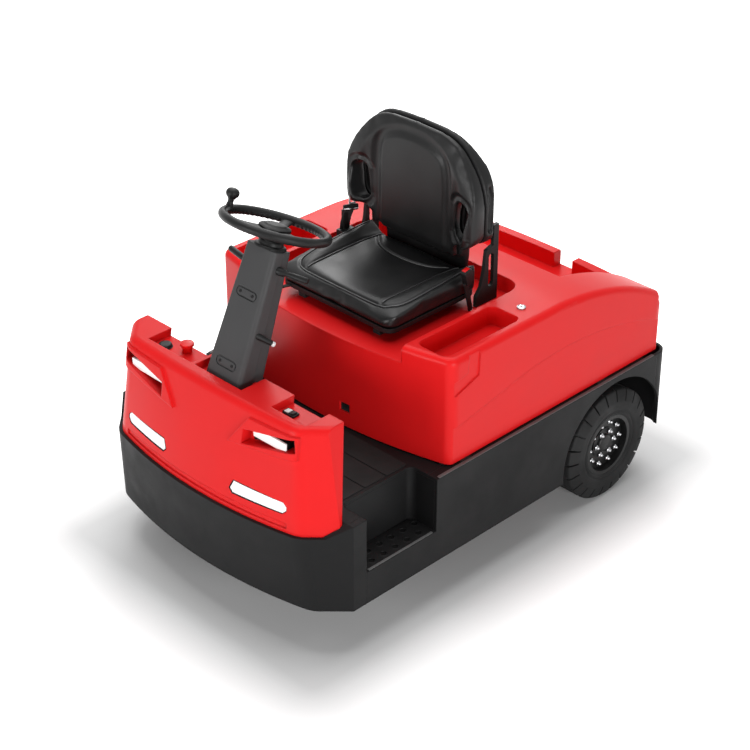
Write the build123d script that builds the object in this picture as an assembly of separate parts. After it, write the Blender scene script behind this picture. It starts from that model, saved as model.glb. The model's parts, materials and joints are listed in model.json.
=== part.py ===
# Electric tow tractor with a driver's seat: one steered front wheel, a driven rear axle, a lifting
# hood that carries the seat, and a tow coupling at the rear.
# X points forward, Y to the driver's left and Z up. Solids are drawn with x = 0 at the rear axle and
# moved when written, so that the origin ends up on the floor under the middle of the tractor.
from build123d import *
import os
from math import cos, radians, sin, sqrt, tan

# Lengths along the tractor, in millimetres
REAR_REACH = 258.0          # rear axle to the back of the rear panel
COUPLER_REACH = 90.0        # tow coupling behind the rear panel
HOOD_SETBACK = 18.0         # hood's rear wall ahead of the panel's back
HOOD_LENGTH = 1052.0
STEP_GAP = 3.0              # hood's front to the step well
STEP_LENGTH = 285.0
BUMPER_LENGTH = 212.0       # front of the step to the front of the bumper
FRONT_OVERHANG = 252.0      # front wheel's pin to the front of the bumper

# Widths, heights and clearances
HALF_WIDTH = 508.0
SKIRT_Z = 158.0             # lower edge of skirts and bumper
STEP_DROP = 181.0           # sill to step tread
SLIP = 0.3                  # gap between pieces that turn or rest on each other

# Wheels
TYRE_R = 190.0
TYRE_W = 114.0
TYRE_BORE_R = 104.0
SHOULDER_DROP = 34.0        # sloped shoulder, along the radius
SHOULDER_W = 11.0           # and across the tread
TYRE_INSET = 9.0            # rear tyre's side inside the skirt's outer face
LUGS = 22                   # grooves round each shoulder
LUG_GROOVE = 6.0
LUG_DEPTH = 20.0            # groove's depth from the tyre's side
LUG_R = 152.0               # inner end of a groove
RIM_WALL = 12.0
RIM_INSET = 6.0             # rim edge inside the tyre's side
DISC_OUT = 26.0             # wheel disc's outer face from the wheel's middle
DISC_T = 12.0
HUB_R = 52.0
HUB_L = 64.0
HUB_PROUD = 4.0
SPINDLE_R = 30.0
SPINDLE_PROUD = 8.0         # spindle's end beyond the disc
FRONT_PIN_R = 15.0
FRONT_PIN_PROUD = 8.0

# Skirts, bumper, floor and steps
SKIRT_T = 10.0
FLANGE_W = 28.0             # sill flange inside each skirt
PLATE_T = 12.0              # floor plate and sill flange
BUMPER_T = 22.0
BUMPER_BOW_R = 1600.0       # plan radius of the bumper's front
BUMPER_CORNER_R = 95.0
BUMPER_LEAN = 19.0          # lower edge behind the upper one at the front
CHAMFER_START = 51.0        # from the bumper's end to its slanted corner
NOSE_DROP = 41.0            # sill to the bumper's top at the front
NOSE_SLOPE = 53.0           # length of the fall between them
STEP_DEPTH = 105.0
STEP_CORNER_R = 24.0
STEP_T = 4.0
ARCH_GAP = 50.0             # wheel arch outside the tyre
REAR_PANEL_Z = 166.0
REAR_CORNER_R = 45.0
FLOOR_LAP = 60.0            # floor plate under the hood

# Frame
RAIL_INSET = 208.0          # skirt's outer face to a rail's inner face
RAIL_W = 40.0
RAIL_H = 80.0
RAIL_SETBACK = 82.0         # rails' front end behind the bumper's front
AXLE_PAD_H = 72.0           # axle's middle to the rails
AXLE_PAD_LENGTH = 110.0
BRIDGE_LENGTH = 160.0
BRIDGE_T = 22.0
BRIDGE_GAP = 5.0            # over the fork's crown
CROSS_GAP = 40.0            # hood's rear wall to the cross member
CROSS_LENGTH = 50.0
TRAY_T = 10.0
BATTERY_GAP = 27.0          # ahead of the motor
BATTERY_SETBACK = 77.0      # behind the hood's front
BATTERY_ROOM = 54.0         # under the floor of the seat well
BATTERY_SIDE_GAP = 10.0     # between battery and rail

# Rear axle and motor
BEAM_R = 45.0
BEAM_INSET = 97.0           # beam's end inside the tyre's middle
DRUM_W = 22.0
DRUM_GAP = 2.0              # under the rails
MOTOR_X = 118.0
MOTOR_RISE = 130.0          # above the axle
MOTOR_R = 90.0
MOTOR_END_GAP = 155.0       # to the left rail
MOTOR_CHAMFER = 10.0
CASE_GAP = 95.0             # gear case to the right rail
CASE_W = 50.0
CASE_R = 96.0

# Front fork
FORK_GAP = 14.0             # between a tyre's side and a fork leg
FORK_LEG_T = 16.0
FORK_LEG_W = 76.0
CROWN_GAP = 12.0            # over the tyre
CROWN_T = 18.0
CROWN_R = 98.0
KINGPIN_R = 29.5
KINGPIN_CLEARANCE = 0.5
KINGPIN_TOP_GAP = 2.0       # under the floor plate

# Tow coupling
COUPLER_HALF_WIDTH = 70.0
COUPLER_PLATE_T = 16.0
COUPLER_PITCH = 60.0
COUPLER_PLATES = 3
COUPLER_EYE_R = 40.0
COUPLER_BORE_R = 16.0

# Console
CONSOLE_H = 327.0           # over the bumper's top
CONSOLE_LEAN = 11.0         # front and rear faces lean back, in degrees
CONSOLE_DEPTH = 136.0
CONSOLE_SETBACK = 11.0      # foot behind the bumper's front
CONSOLE_INSET = 32.0        # foot's side inside the bumper's side
CONSOLE_TOP_INSET = 86.0    # the same at the top
CONSOLE_TOP_BOW_R = 5000.0
CONSOLE_TOP_CORNER_R = 60.0
CONSOLE_TOP_CHAMFER = 62.0  # top's slanted corner behind the foot's, along X
CONSOLE_EDGE_R = 24.0
DECK_DROP = 24.0            # recessed decks beside the column
DECK_LIP = 47.0             # console's front to a deck
GROOVE_RISE = 12.0          # groove along the console's foot
GROOVE_H = 16.0
GROOVE_DEPTH = 5.0
GROOVE_END = 126.0          # from the console's side
FRAME_RISE = 9.0            # raised frame round each headlamp
POCKET_DEPTH = 26.0         # headlamp's pocket
LAMP_T = 10.0
LAMP_DEPTH = 12.0           # marker lamp's pocket

# Steering column and wheel
COLUMN_TILT = 22.0          # in degrees
WHEEL_SETBACK = 356.0       # steering wheel's middle behind the bumper's front
WHEEL_RISE = 681.0          # and above the sill
WHEEL_R = 152.0
RIM_TUBE_R = 13.0
SPOKES = 3
SPOKE_W = 34.0
SPOKE_T = 9.0
SPOKE_DROP = 8.0
WHEEL_HUB_R = 48.0
WHEEL_HUB_H = 30.0
COLUMN_TOP = 62.0           # below the steering wheel's middle, along the column
COLUMN_LENGTH = 470.0
COLUMN_FOOT = (112.0, 150.0)
COLUMN_HEAD = (76.0, 120.0)
COLUMN_EDGE_R = 14.0
COLUMN_STEP = 7.0           # rear half narrower than the front cover, on each side
PLATE_SLOT = (84.0, 30.0, 3.0)  # length, width and depth of a recess in the cover
PLATE_DROPS = (202.0, 412.0)    # recesses below the steering wheel's middle, along the column
COLLAR_R = 34.0
COLLAR_H = 22.0
SHAFT_R = 12.0
SHAFT_SEAT = 60.0           # bore's depth in the column
KNOB_ANGLE = -70.0          # on the rim, from straight ahead
KNOB_R = 20.0
KNOB_STEM_R = 9.0
KNOB_H = 32.0

# Hood
HOOD_GAP = 5.0              # over the sill
HOOD_INSET = 15.0           # side inside the skirt's outer face
HOOD_RISE = 354.0           # sill to the hood's top
HOOD_FALL = 158.0           # top to the middle of the tail
TAIL_CROWN = 30.0           # tail's sides below its middle
HOOD_BOW = 70.0
HOOD_WALL = 6.0
HOOD_FRONT_CORNER_R = 35.0
HOOD_REAR_CORNER_R = 45.0
HOOD_EDGE_R = 20.0
SWAGE_DEPTH = 4.0           # side below the crease
WELL_DEPTH = 53.0
WELL_GAP = 64.0             # behind the seat's back
WELL_CORNER_R = 60.0
POD_WIDTH = 167.0           # beside the seat well
FALL_GAP = 42.0             # well's rear to where the top starts to fall
BIN_GAP = 128.0             # well's rear to the storage bin
BIN_RAMP = 150.0
BIN_WALL = 35.0
BIN_DEPTH = 53.0            # under the tail
BIN_INSET = 143.0           # from the hood's side
BIN_NOTCH = (60.0, 137.0)
TRAY_SETBACK = 72.0         # behind the hood's front
TRAY_LENGTH = 322.0
TRAY_RIM = 18.0             # beside the well
TRAY_OUTER_RIM = 33.0
TRAY_DEPTH = 62.0
TRAY_CORNER_R = 24.0
SOCKET_Y = 119.0            # square charging opening in the front wall
SOCKET_RISE = 65.0          # its middle over the hood's lower edge
SOCKET_SIZE = (38.0, 30.0)
HINGE_GAP = 30.0            # hinge pin ahead of the rear wall
HINGE_RISE = 19.0           # and above the sill
HINGE_INSET = 50.0          # from the rail
HINGE_PIN_R = 6.0
HINGE_EYE_R = 12.0
HINGE_EYE_W = 24.0
HINGE_EAR_T = 8.0
HINGE_ARM = 46.0            # knuckle's height on the rear wall
BUFFER_SIZE = (40.0, 24.0)
BUFFER_ENDS = (300.0, 132.0)  # from the hood's rear and front
LOCK_R = 14.0
LOCK_H = 5.0
LOCK_GAP = (48.0, 73.0)     # behind the tray and outside its inner edge
TAIL_LAMP = (100.0, 40.0, 8.0)
TAIL_LAMP_INSET = 73.0
TAIL_LAMP_RISE = 66.0

# Seat
SEAT_SETBACK = 67.0         # cushion behind the hood's front
SEAT_DEPTH = 393.0
SEAT_SIDE_GAP = 81.0        # to the side of the well
SEAT_RAIL_H = 30.0
SEAT_RAIL_W = 28.0
SEAT_RAIL_INSET = 85.0      # from the cushion's side
SEAT_RAIL_ENDS = (50.0, 30.0)
SEAT_PAN_T = 14.0
SEAT_PAN_INSET = 11.0
SEAT_CORNER_R = 45.0
CUSHION_H = 48.0            # middle of the cushion
BOLSTER_H = 84.0            # side bolsters at the rear
BOLSTER_FRONT_H = 50.0      # and at the front lip
BOLSTER_W = 84.0
BACK_GAP = 30.0             # back's rear face behind the cushion
BACK_SHELL_T = 50.0
BACK_PAD_T = 30.0
BACK_TOP_T = 22.0           # pad at the top edge
BACK_RISE = 26.0            # over the seat pan's underside
BACK_H = 472.0
WING_REACH = 44.0           # side wings in front of the pad
WING_TOP = 215.0            # wings' full depth ends, over the back's foot
WING_W = 48.0               # from the back's side to a wing's edge
WING_INSET = 125.0          # from the back's side to a wing's root
WING_R = 12.0
BACK_EDGE = 18.0            # bevel round the shell's rear
SHELL_POCKET = 22.0         # depth of the pocket in each side of the shell
BRACKET_GAP = 1.0           # outside the cushion's side
BRACKET_T = 12.0

SIDES = (("left", 1), ("right", -1))
BASE = (Align.CENTER, Align.CENTER, Align.MIN)

# Places that follow from the sizes
HOOD_REAR_X = HOOD_SETBACK - REAR_REACH
HOOD_FRONT_X = HOOD_REAR_X + HOOD_LENGTH
STEP_REAR_X = HOOD_FRONT_X + STEP_GAP
BUMPER_END_X = STEP_REAR_X + STEP_LENGTH
FRONT_REACH = BUMPER_END_X + BUMPER_LENGTH
WHEELBASE = FRONT_REACH - FRONT_OVERHANG
AXLE_X = (COUPLER_REACH + REAR_REACH - FRONT_REACH) / 2
CROSS_X = HOOD_REAR_X + CROSS_GAP
SLOPE_X = BUMPER_END_X + CHAMFER_START
CROWN_Z = 2 * TYRE_R + CROWN_GAP
FLOOR_Z = CROWN_Z + CROWN_T + BRIDGE_GAP + BRIDGE_T
SILL_Z = FLOOR_Z + PLATE_T
STEP_Z = SILL_Z - STEP_DROP
NOSE_Z = SILL_Z - NOSE_DROP
RAIL_Y = HALF_WIDTH - RAIL_INSET
RAIL_OUTER_Y = RAIL_Y + RAIL_W
RAIL_Z = TYRE_R + AXLE_PAD_H
RAIL_TOP = RAIL_Z + RAIL_H
TRACK_HALF = HALF_WIDTH - TYRE_INSET - TYRE_W / 2
CONSOLE_Z = NOSE_Z + CONSOLE_H
CONSOLE_HALF_WIDTH = HALF_WIDTH - CONSOLE_INSET
CONSOLE_TOP_HALF = HALF_WIDTH - CONSOLE_TOP_INSET
WHEEL_X = FRONT_REACH - WHEEL_SETBACK
WHEEL_Z = SILL_Z + WHEEL_RISE
HOOD_Z = SILL_Z + HOOD_GAP
HOOD_TOP_Z = SILL_Z + HOOD_RISE
HOOD_TAIL_Z = HOOD_TOP_Z - HOOD_FALL
HOOD_HALF_WIDTH = HALF_WIDTH - HOOD_INSET
WELL_Z = HOOD_TOP_Z - WELL_DEPTH
WELL_HALF_WIDTH = HOOD_HALF_WIDTH - POD_WIDTH
SEAT_FRONT_X = HOOD_FRONT_X - SEAT_SETBACK
SEAT_REAR_X = SEAT_FRONT_X - SEAT_DEPTH
SEAT_HALF_WIDTH = WELL_HALF_WIDTH - SEAT_SIDE_GAP
SEAT_RAIL_Y = SEAT_HALF_WIDTH - SEAT_RAIL_INSET
SEAT_PAN_Z = WELL_Z + SEAT_RAIL_H
CUSHION_Z = SEAT_PAN_Z + SEAT_PAN_T + SLIP
BACK_X = SEAT_REAR_X - BACK_GAP
BACK_Z = SEAT_PAN_Z + BACK_RISE
WELL_REAR_X = BACK_X - WELL_GAP
HOOD_FALL_X = WELL_REAR_X + FALL_GAP
BIN_FRONT_X = WELL_REAR_X - BIN_GAP
BIN_REAR_X = HOOD_REAR_X + BIN_WALL
BIN_Z = HOOD_TAIL_Z - BIN_DEPTH
BIN_HALF_WIDTH = HOOD_HALF_WIDTH - BIN_INSET
TRAY_X = HOOD_FRONT_X - TRAY_SETBACK - TRAY_LENGTH
TRAY_Y = WELL_HALF_WIDTH + TRAY_RIM
TRAY_WIDTH = POD_WIDTH - TRAY_RIM - TRAY_OUTER_RIM
HINGE_X = HOOD_REAR_X + HINGE_GAP
HINGE_Z = SILL_Z + HINGE_RISE
HINGE_Y = RAIL_Y - HINGE_INSET


def block(x0, x1, y0, y1, z0, z1):
    """A box between two corners."""
    size = (x1 - x0, y1 - y0, z1 - z0)
    return Pos((x0 + x1) / 2, (y0 + y1) / 2, (z0 + z1) / 2) * Box(*size)


def slab(x0, x1, half, z0, z1):
    """A box that is symmetric about the middle."""
    return block(x0, x1, -half, half, z0, z1)


def rod(start, end, radius):
    """A round bar between two points."""
    path = Vector(*end) - Vector(*start)
    return Plane(start, z_dir=path) * Cylinder(radius, path.length, align=BASE)


def across(radius, y0, y1, x, z):
    """A cylinder along Y."""
    return Pos(x, (y0 + y1) / 2, z) * Rot(90, 0, 0) * Cylinder(radius, y1 - y0)


def side_face(wire_edges, y0, y1):
    """A profile drawn in X and Z, extruded from y0 to y1."""
    face = Plane.XZ * make_face(wire_edges)
    return Pos(0, y0, 0) * extrude(face, y1 - y0, dir=(0, 1, 0))


def front_prism(wire_edges, x0, x1):
    """A profile drawn in Y and Z, extruded from x0 to x1."""
    return Pos(x0, 0, 0) * extrude(Plane.YZ * make_face(wire_edges), x1 - x0, dir=(1, 0, 0))


def prism(face, z0, z1):
    return Pos(0, 0, z0) * extrude(face, z1 - z0)


def mirrored(solid):
    return mirror(solid, about=Plane.XZ)


def largest(shape):
    return shape.solids().sort_by(SortBy.VOLUME)[-1]


def corner_arc(start, end, centre, radius):
    """The arc of a rounded corner, from start to end about its centre."""
    middle = (Vector(*start) + Vector(*end)) / 2 - Vector(*centre)
    return ThreePointArc(start, Vector(*centre) + middle.normalized() * radius, end)


def bowed_plan(rear_x, front_x, bow, half_width, front_r, rear_r):
    """A plan with a bowed front edge and rounded corners."""
    bow_r = (half_width ** 2 + bow ** 2) / (2 * bow)
    bow_x = front_x - bow_r
    corner = Vector(bow_x + sqrt((bow_r - front_r) ** 2 - (half_width - front_r) ** 2), half_width - front_r)
    touch = Vector(bow_x, 0) + (corner - Vector(bow_x, 0)).normalized() * bow_r
    rear = Vector(rear_x + rear_r, half_width - rear_r)
    edges = [
        Line((rear_x, -rear.Y), (rear_x, rear.Y)),
        ThreePointArc((touch.X, -touch.Y), (front_x, 0), (touch.X, touch.Y)),
    ]
    for _, sign in SIDES:
        side_y = sign * half_width
        edges.append(Line((rear.X, side_y), (corner.X, side_y)))
        edges.append(corner_arc((rear_x, sign * rear.Y), (rear.X, side_y), (rear.X, sign * rear.Y), rear_r))
        edges.append(corner_arc((corner.X, side_y), (touch.X, sign * touch.Y),
                                (corner.X, sign * corner.Y), front_r))
    return make_face(edges)


def nose_plan(rear_x, front_x, bow_r, corner_r, chamfer, half_width):
    """A plan with a bowed front that turns into a 45 degree corner on each side.

    The slanted corner lies on the line x + y = chamfer, and an arc leads into it.
    """
    bow_x = front_x - bow_r
    reach = chamfer - corner_r * sqrt(2) - bow_x
    inner_r = bow_r - corner_r
    centre_y = (reach - sqrt(2 * inner_r ** 2 - reach ** 2)) / 2
    centre = Vector(bow_x + reach - centre_y, centre_y)
    touch = Vector(bow_x, 0) + (centre - Vector(bow_x, 0)).normalized() * bow_r
    leave = centre + Vector(1, 1).normalized() * corner_r
    side_x = chamfer - half_width
    edges = [
        Line((rear_x, -half_width), (rear_x, half_width)),
        ThreePointArc((touch.X, -touch.Y), (front_x, 0), (touch.X, touch.Y)),
    ]
    for _, sign in SIDES:
        edges.append(corner_arc((touch.X, sign * touch.Y), (leave.X, sign * leave.Y),
                                (centre.X, sign * centre.Y), corner_r))
        edges.append(Line((leave.X, sign * leave.Y), (side_x, sign * half_width)))
        edges.append(Line((side_x, sign * half_width), (rear_x, sign * half_width)))
    return make_face(edges)


def bumper_plan(inset, lean):
    return nose_plan(STEP_REAR_X, FRONT_REACH - inset - lean, BUMPER_BOW_R - inset, BUMPER_CORNER_R - inset,
                     SLOPE_X + HALF_WIDTH - inset * sqrt(2), HALF_WIDTH - inset)


def bumper_form(inset):
    """Room inside the bumper's outline, its front leaning up to the nose."""
    lower = Pos(0, 0, SKIRT_Z) * bumper_plan(inset, BUMPER_LEAN)
    upper = Pos(0, 0, NOSE_Z) * bumper_plan(inset, 0)
    form = loft([lower, upper], ruled=True) + prism(bumper_plan(inset, 0), NOSE_Z, SILL_Z)
    return form & slab(BUMPER_END_X, FRONT_REACH, HALF_WIDTH, SKIRT_Z, SILL_Z)


def nose_line(drop):
    """Floor line from the hood to the front: level, then down the slope, then level again."""
    return [(STEP_REAR_X - FLOOR_LAP, SILL_Z - drop), (SLOPE_X, SILL_Z - drop),
            (SLOPE_X + NOSE_SLOPE, NOSE_Z - drop), (FRONT_REACH, NOSE_Z - drop)]


def over_nose():
    """Everything above the floor line, up to the console's top."""
    top = [(FRONT_REACH, CONSOLE_Z), (STEP_REAR_X - FLOOR_LAP, CONSOLE_Z)]
    return side_face(Polyline(*nose_line(0), *top, close=True), -HALF_WIDTH, HALF_WIDTH)


def step_well(grow):
    """Plan of the left step well; its outer side is open."""
    y0 = HALF_WIDTH - STEP_DEPTH - grow
    y1 = HALF_WIDTH - SKIRT_T
    face = Pos((STEP_REAR_X + BUMPER_END_X) / 2, (y0 + y1) / 2) * Rectangle(STEP_LENGTH + 2 * grow, y1 - y0)
    return fillet(face.vertices().group_by(Axis.Y)[0], STEP_CORNER_R + grow)


def front_bumper():
    return bumper_form(0) - bumper_form(BUMPER_T) - over_nose()


def arch_cut():
    inner_y = TRACK_HALF - TYRE_W / 2 - FORK_GAP
    return across(TYRE_R + ARCH_GAP, inner_y, HALF_WIDTH + SLIP, 0, TYRE_R)


def side_skirt():
    outline = Polyline((BUMPER_END_X, SKIRT_Z), (BUMPER_END_X, STEP_Z), (STEP_REAR_X, STEP_Z),
                       (STEP_REAR_X, SILL_Z), (CROSS_X, SILL_Z), (CROSS_X, SKIRT_Z), close=True)
    inner_y = HALF_WIDTH - SKIRT_T
    plate = side_face(outline, inner_y, HALF_WIDTH) - arch_cut()
    flange = block(CROSS_X + CROSS_LENGTH, STEP_REAR_X, inner_y - FLANGE_W, inner_y, FLOOR_Z, SILL_Z)
    return plate + flange


def rear_plan(inset):
    """Plan of the rear panel's outline, rounded at the back."""
    x0 = inset - REAR_REACH
    face = Pos((x0 + CROSS_X) / 2, 0) * Rectangle(CROSS_X - x0, 2 * (HALF_WIDTH - inset))
    return fillet(face.vertices().group_by(Axis.X)[0], REAR_CORNER_R - inset)


def rear_panel():
    solid = prism(rear_plan(0), REAR_PANEL_Z, SILL_Z) - prism(rear_plan(SKIRT_T), REAR_PANEL_Z, SILL_Z)
    return solid - arch_cut() - mirrored(arch_cut())


def step():
    shell = prism(step_well(STEP_T), STEP_Z - STEP_T, FLOOR_Z)
    return shell - prism(step_well(0), STEP_Z, FLOOR_Z) - bumper_form(0)


def floor_plate():
    """Bent plate from under the hood to the inside of the bumper."""
    outline = Polyline(*nose_line(0), *reversed(nose_line(PLATE_T)), close=True)
    inner_y = HALF_WIDTH - SKIRT_T - FLANGE_W
    room = slab(STEP_REAR_X - FLOOR_LAP, BUMPER_END_X, inner_y, NOSE_Z, SILL_Z) + bumper_form(BUMPER_T + SLIP)
    well = prism(step_well(0), FLOOR_Z, SILL_Z)
    return (side_face(outline, -HALF_WIDTH, HALF_WIDTH) & room) - well - mirrored(well)


def rails():
    """Side rails from the rear panel to the inside of the bumper."""
    rail = block(SKIRT_T - REAR_REACH, FRONT_REACH - RAIL_SETBACK, RAIL_Y, RAIL_OUTER_Y, RAIL_Z, RAIL_TOP)
    rail = largest(rail - (bumper_form(0) - bumper_form(BUMPER_T + SLIP)))
    return [rail, mirrored(rail)]


def front_bridge():
    """Inverted U over the steered wheel, between the rails and the floor."""
    x0 = WHEELBASE - BRIDGE_LENGTH / 2
    x1 = WHEELBASE + BRIDGE_LENGTH / 2
    solid = slab(x0, x1, RAIL_OUTER_Y, RAIL_TOP, FLOOR_Z) - slab(x0, x1, RAIL_Y, RAIL_TOP, FLOOR_Z - BRIDGE_T)
    return solid - Pos(WHEELBASE, 0, FLOOR_Z) * Cylinder(KINGPIN_R + KINGPIN_CLEARANCE, 3 * BRIDGE_T)


def rear_cross():
    return slab(CROSS_X, CROSS_X + CROSS_LENGTH, RAIL_OUTER_Y, RAIL_TOP, FLOOR_Z)


def battery_length():
    rear_x = MOTOR_X + MOTOR_R + BATTERY_GAP
    return rear_x, HOOD_FRONT_X - BATTERY_SETBACK


def battery_tray():
    x0, x1 = battery_length()
    return slab(x0 - TRAY_T, x1 + TRAY_T, RAIL_Y, RAIL_Z, RAIL_Z + TRAY_T)


def battery():
    x0, x1 = battery_length()
    return slab(x0, x1, RAIL_Y - BATTERY_SIDE_GAP, RAIL_Z + TRAY_T, WELL_Z - HOOD_WALL - BATTERY_ROOM)


def rear_axle():
    beam_half = TRACK_HALF - BEAM_INSET
    spindle_half = TRACK_HALF + DISC_OUT + SPINDLE_PROUD
    solid = across(BEAM_R, -beam_half, beam_half, 0, TYRE_R)
    solid += across(SPINDLE_R, -spindle_half, spindle_half, 0, TYRE_R)
    for _, sign in SIDES:
        drum_y = sign * beam_half
        solid += across(AXLE_PAD_H - DRUM_GAP, drum_y - DRUM_W / 2, drum_y + DRUM_W / 2, 0, TYRE_R)
        pad_y = sign * (RAIL_Y + RAIL_W / 2)
        solid += block(-AXLE_PAD_LENGTH / 2, AXLE_PAD_LENGTH / 2, pad_y - RAIL_W / 2, pad_y + RAIL_W / 2,
                       TYRE_R, RAIL_Z)
    case = SlotCenterToCenter(sqrt(MOTOR_X ** 2 + MOTOR_RISE ** 2), 2 * CASE_R)
    tilt = -Vector(MOTOR_X, MOTOR_RISE).get_angle(Vector(1, 0))
    frame = Plane((MOTOR_X / 2, CASE_GAP - RAIL_Y, TYRE_R + MOTOR_RISE / 2), x_dir=(1, 0, 0), z_dir=(0, 1, 0))
    return solid + extrude(frame * Rot(0, 0, tilt) * case, CASE_W)


def drive_motor():
    y0 = CASE_GAP - RAIL_Y + CASE_W
    solid = across(MOTOR_R, y0, RAIL_Y - MOTOR_END_GAP, MOTOR_X, TYRE_R + MOTOR_RISE)
    return chamfer(solid.faces().sort_by(Axis.Y)[-1].edges(), MOTOR_CHAMFER)


def tow_coupler():
    """A back plate with level tongues, bored for one drop pin."""
    face_x = -REAR_REACH
    height = COUPLER_PITCH * (COUPLER_PLATES - 1) + COUPLER_PLATE_T
    solid = slab(face_x - COUPLER_PLATE_T, face_x, COUPLER_HALF_WIDTH, RAIL_Z, RAIL_Z + height)
    eye_x = face_x - COUPLER_REACH + COUPLER_EYE_R
    tongue = Pos(eye_x, 0) * Circle(COUPLER_EYE_R)
    tongue += Pos((eye_x + face_x) / 2, 0) * Rectangle(face_x - eye_x, 2 * COUPLER_EYE_R)
    tongue -= Pos(eye_x, 0) * Circle(COUPLER_BORE_R)
    for level in range(COUPLER_PLATES):
        z0 = RAIL_Z + level * COUPLER_PITCH
        solid += prism(tongue, z0, z0 + COUPLER_PLATE_T)
    return solid


def tyre():
    """Solid tyre about the Y axis with a row of grooves round each shoulder, its middle at the origin."""
    side_y = TYRE_W / 2
    tread_y = side_y - SHOULDER_W
    shoulder_r = TYRE_R - SHOULDER_DROP
    section = Polyline((TYRE_BORE_R, -side_y), (shoulder_r, -side_y), (TYRE_R, -tread_y), (TYRE_R, tread_y),
                       (shoulder_r, side_y), (TYRE_BORE_R, side_y), close=True)
    solid = revolve(make_face(section), Axis.Y)
    slit = Polyline((LUG_R, side_y), (TYRE_R + SLIP, side_y), (TYRE_R + SLIP, side_y - LUG_DEPTH), close=True)
    groove = extrude(make_face(slit), LUG_GROOVE / 2, both=True)
    grooves = []
    for _, sign in SIDES:
        cut = groove if sign > 0 else mirrored(groove)
        grooves += [Rot(0, 360 * (lug + sign / 4) / LUGS, 0) * cut for lug in range(LUGS)]
    return solid - grooves


def rim(bore_r):
    """Dished wheel rim about the Y axis, its disc towards +Y."""
    half = TYRE_W / 2 - RIM_INSET
    barrel = across(TYRE_BORE_R, -half, half, 0, 0) - across(TYRE_BORE_R - RIM_WALL, -half, half, 0, 0)
    disc = across(TYRE_BORE_R - RIM_WALL / 2, DISC_OUT - DISC_T, DISC_OUT, 0, 0)
    hub = across(HUB_R, DISC_OUT - HUB_L, DISC_OUT + HUB_PROUD, 0, 0)
    return barrel + disc + hub - across(bore_r, -TYRE_W, TYRE_W, 0, 0)


def steering_fork():
    leg_y = TYRE_W / 2 + FORK_GAP
    pin_top = FLOOR_Z - KINGPIN_TOP_GAP
    solid = Pos(WHEELBASE, 0, CROWN_Z + CROWN_T / 2) * Cylinder(CROWN_R, CROWN_T)
    solid += Pos(WHEELBASE, 0, (CROWN_Z + pin_top) / 2) * Cylinder(KINGPIN_R, pin_top - CROWN_Z)
    leg = Pos(0, TYRE_R) * Circle(FORK_LEG_W / 2)
    leg += Pos(0, (TYRE_R + CROWN_Z) / 2) * Rectangle(FORK_LEG_W, CROWN_Z - TYRE_R)
    for y0 in (leg_y, -leg_y - FORK_LEG_T):
        solid += Pos(WHEELBASE, y0, 0) * extrude(Plane.XZ * leg, FORK_LEG_T, dir=(0, 1, 0))
    return solid - across(FRONT_PIN_R, -2 * leg_y, 2 * leg_y, WHEELBASE, TYRE_R)


def front_pin():
    end_y = TYRE_W / 2 + FORK_GAP + FORK_LEG_T + FRONT_PIN_PROUD
    return across(FRONT_PIN_R, -end_y, end_y, WHEELBASE, TYRE_R)


def console_front(z):
    """Console's front at the middle, at a height."""
    return FRONT_REACH - CONSOLE_SETBACK - (z - NOSE_Z) * tan(radians(CONSOLE_LEAN))


def console_form(setback=0.0):
    """Outer form of the console, moved back to make the floor of a pocket."""
    corner = SLOPE_X + HALF_WIDTH - CONSOLE_SETBACK * sqrt(2)
    foot = nose_plan(STEP_REAR_X, console_front(NOSE_Z), BUMPER_BOW_R - CONSOLE_SETBACK,
                     BUMPER_CORNER_R - CONSOLE_SETBACK, corner, CONSOLE_HALF_WIDTH)
    top = nose_plan(STEP_REAR_X, console_front(CONSOLE_Z), CONSOLE_TOP_BOW_R, CONSOLE_TOP_CORNER_R,
                    corner - CONSOLE_TOP_CHAMFER, CONSOLE_TOP_HALF)
    form = loft([Pos(0, 0, NOSE_Z) * foot, Pos(0, 0, CONSOLE_Z) * top], ruled=True)
    edges = [e for e in form.edges().group_by(Axis.Z)[-1] if e.center().X > BUMPER_END_X]
    form = fillet(edges, CONSOLE_EDGE_R)
    foot_x, top_x = (console_front(z) - CONSOLE_DEPTH for z in (NOSE_Z, CONSOLE_Z))
    behind = Polyline((STEP_REAR_X, NOSE_Z), (foot_x, NOSE_Z), (top_x, CONSOLE_Z), (STEP_REAR_X, CONSOLE_Z),
                      close=True)
    return Pos(-setback, 0, 0) * ((form - side_face(behind, -HALF_WIDTH, HALF_WIDTH)) & over_nose())


# Recesses in the console's top: lower and upper y, in shares of the top's half width
DECKS = ((0.533, 0.865), (-0.237, 0.237), (-0.735, -0.265))
# Left lamps seen from the front: corners in shares of the console's half width and height
LAMP_FRAME = ((0.25, 0.624), (0.4, 0.917), (0.78, 0.927), (0.78, 0.71))
LAMP_POCKET = ((0.37, 0.8), (0.76, 0.905), (0.77, 0.783), (0.366, 0.664))
LAMP_BAR = ((0.42, 0.74), (0.42, 0.832), (0.698, 0.832), (0.698, 0.74))
MARKER = ((0.294, 0.19), (0.319, 0.275), (0.702, 0.275), (0.729, 0.239), (0.729, 0.202), (0.702, 0.165),
          (0.319, 0.153))


def lamp_cut(corners):
    """A prism along X through the console's front, from corners in shares of its half width and height."""
    points = [(y * CONSOLE_HALF_WIDTH, NOSE_Z + z * CONSOLE_H) for y, z in corners]
    return front_prism(Polyline(*points, close=True), BUMPER_END_X, FRONT_REACH)


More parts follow.
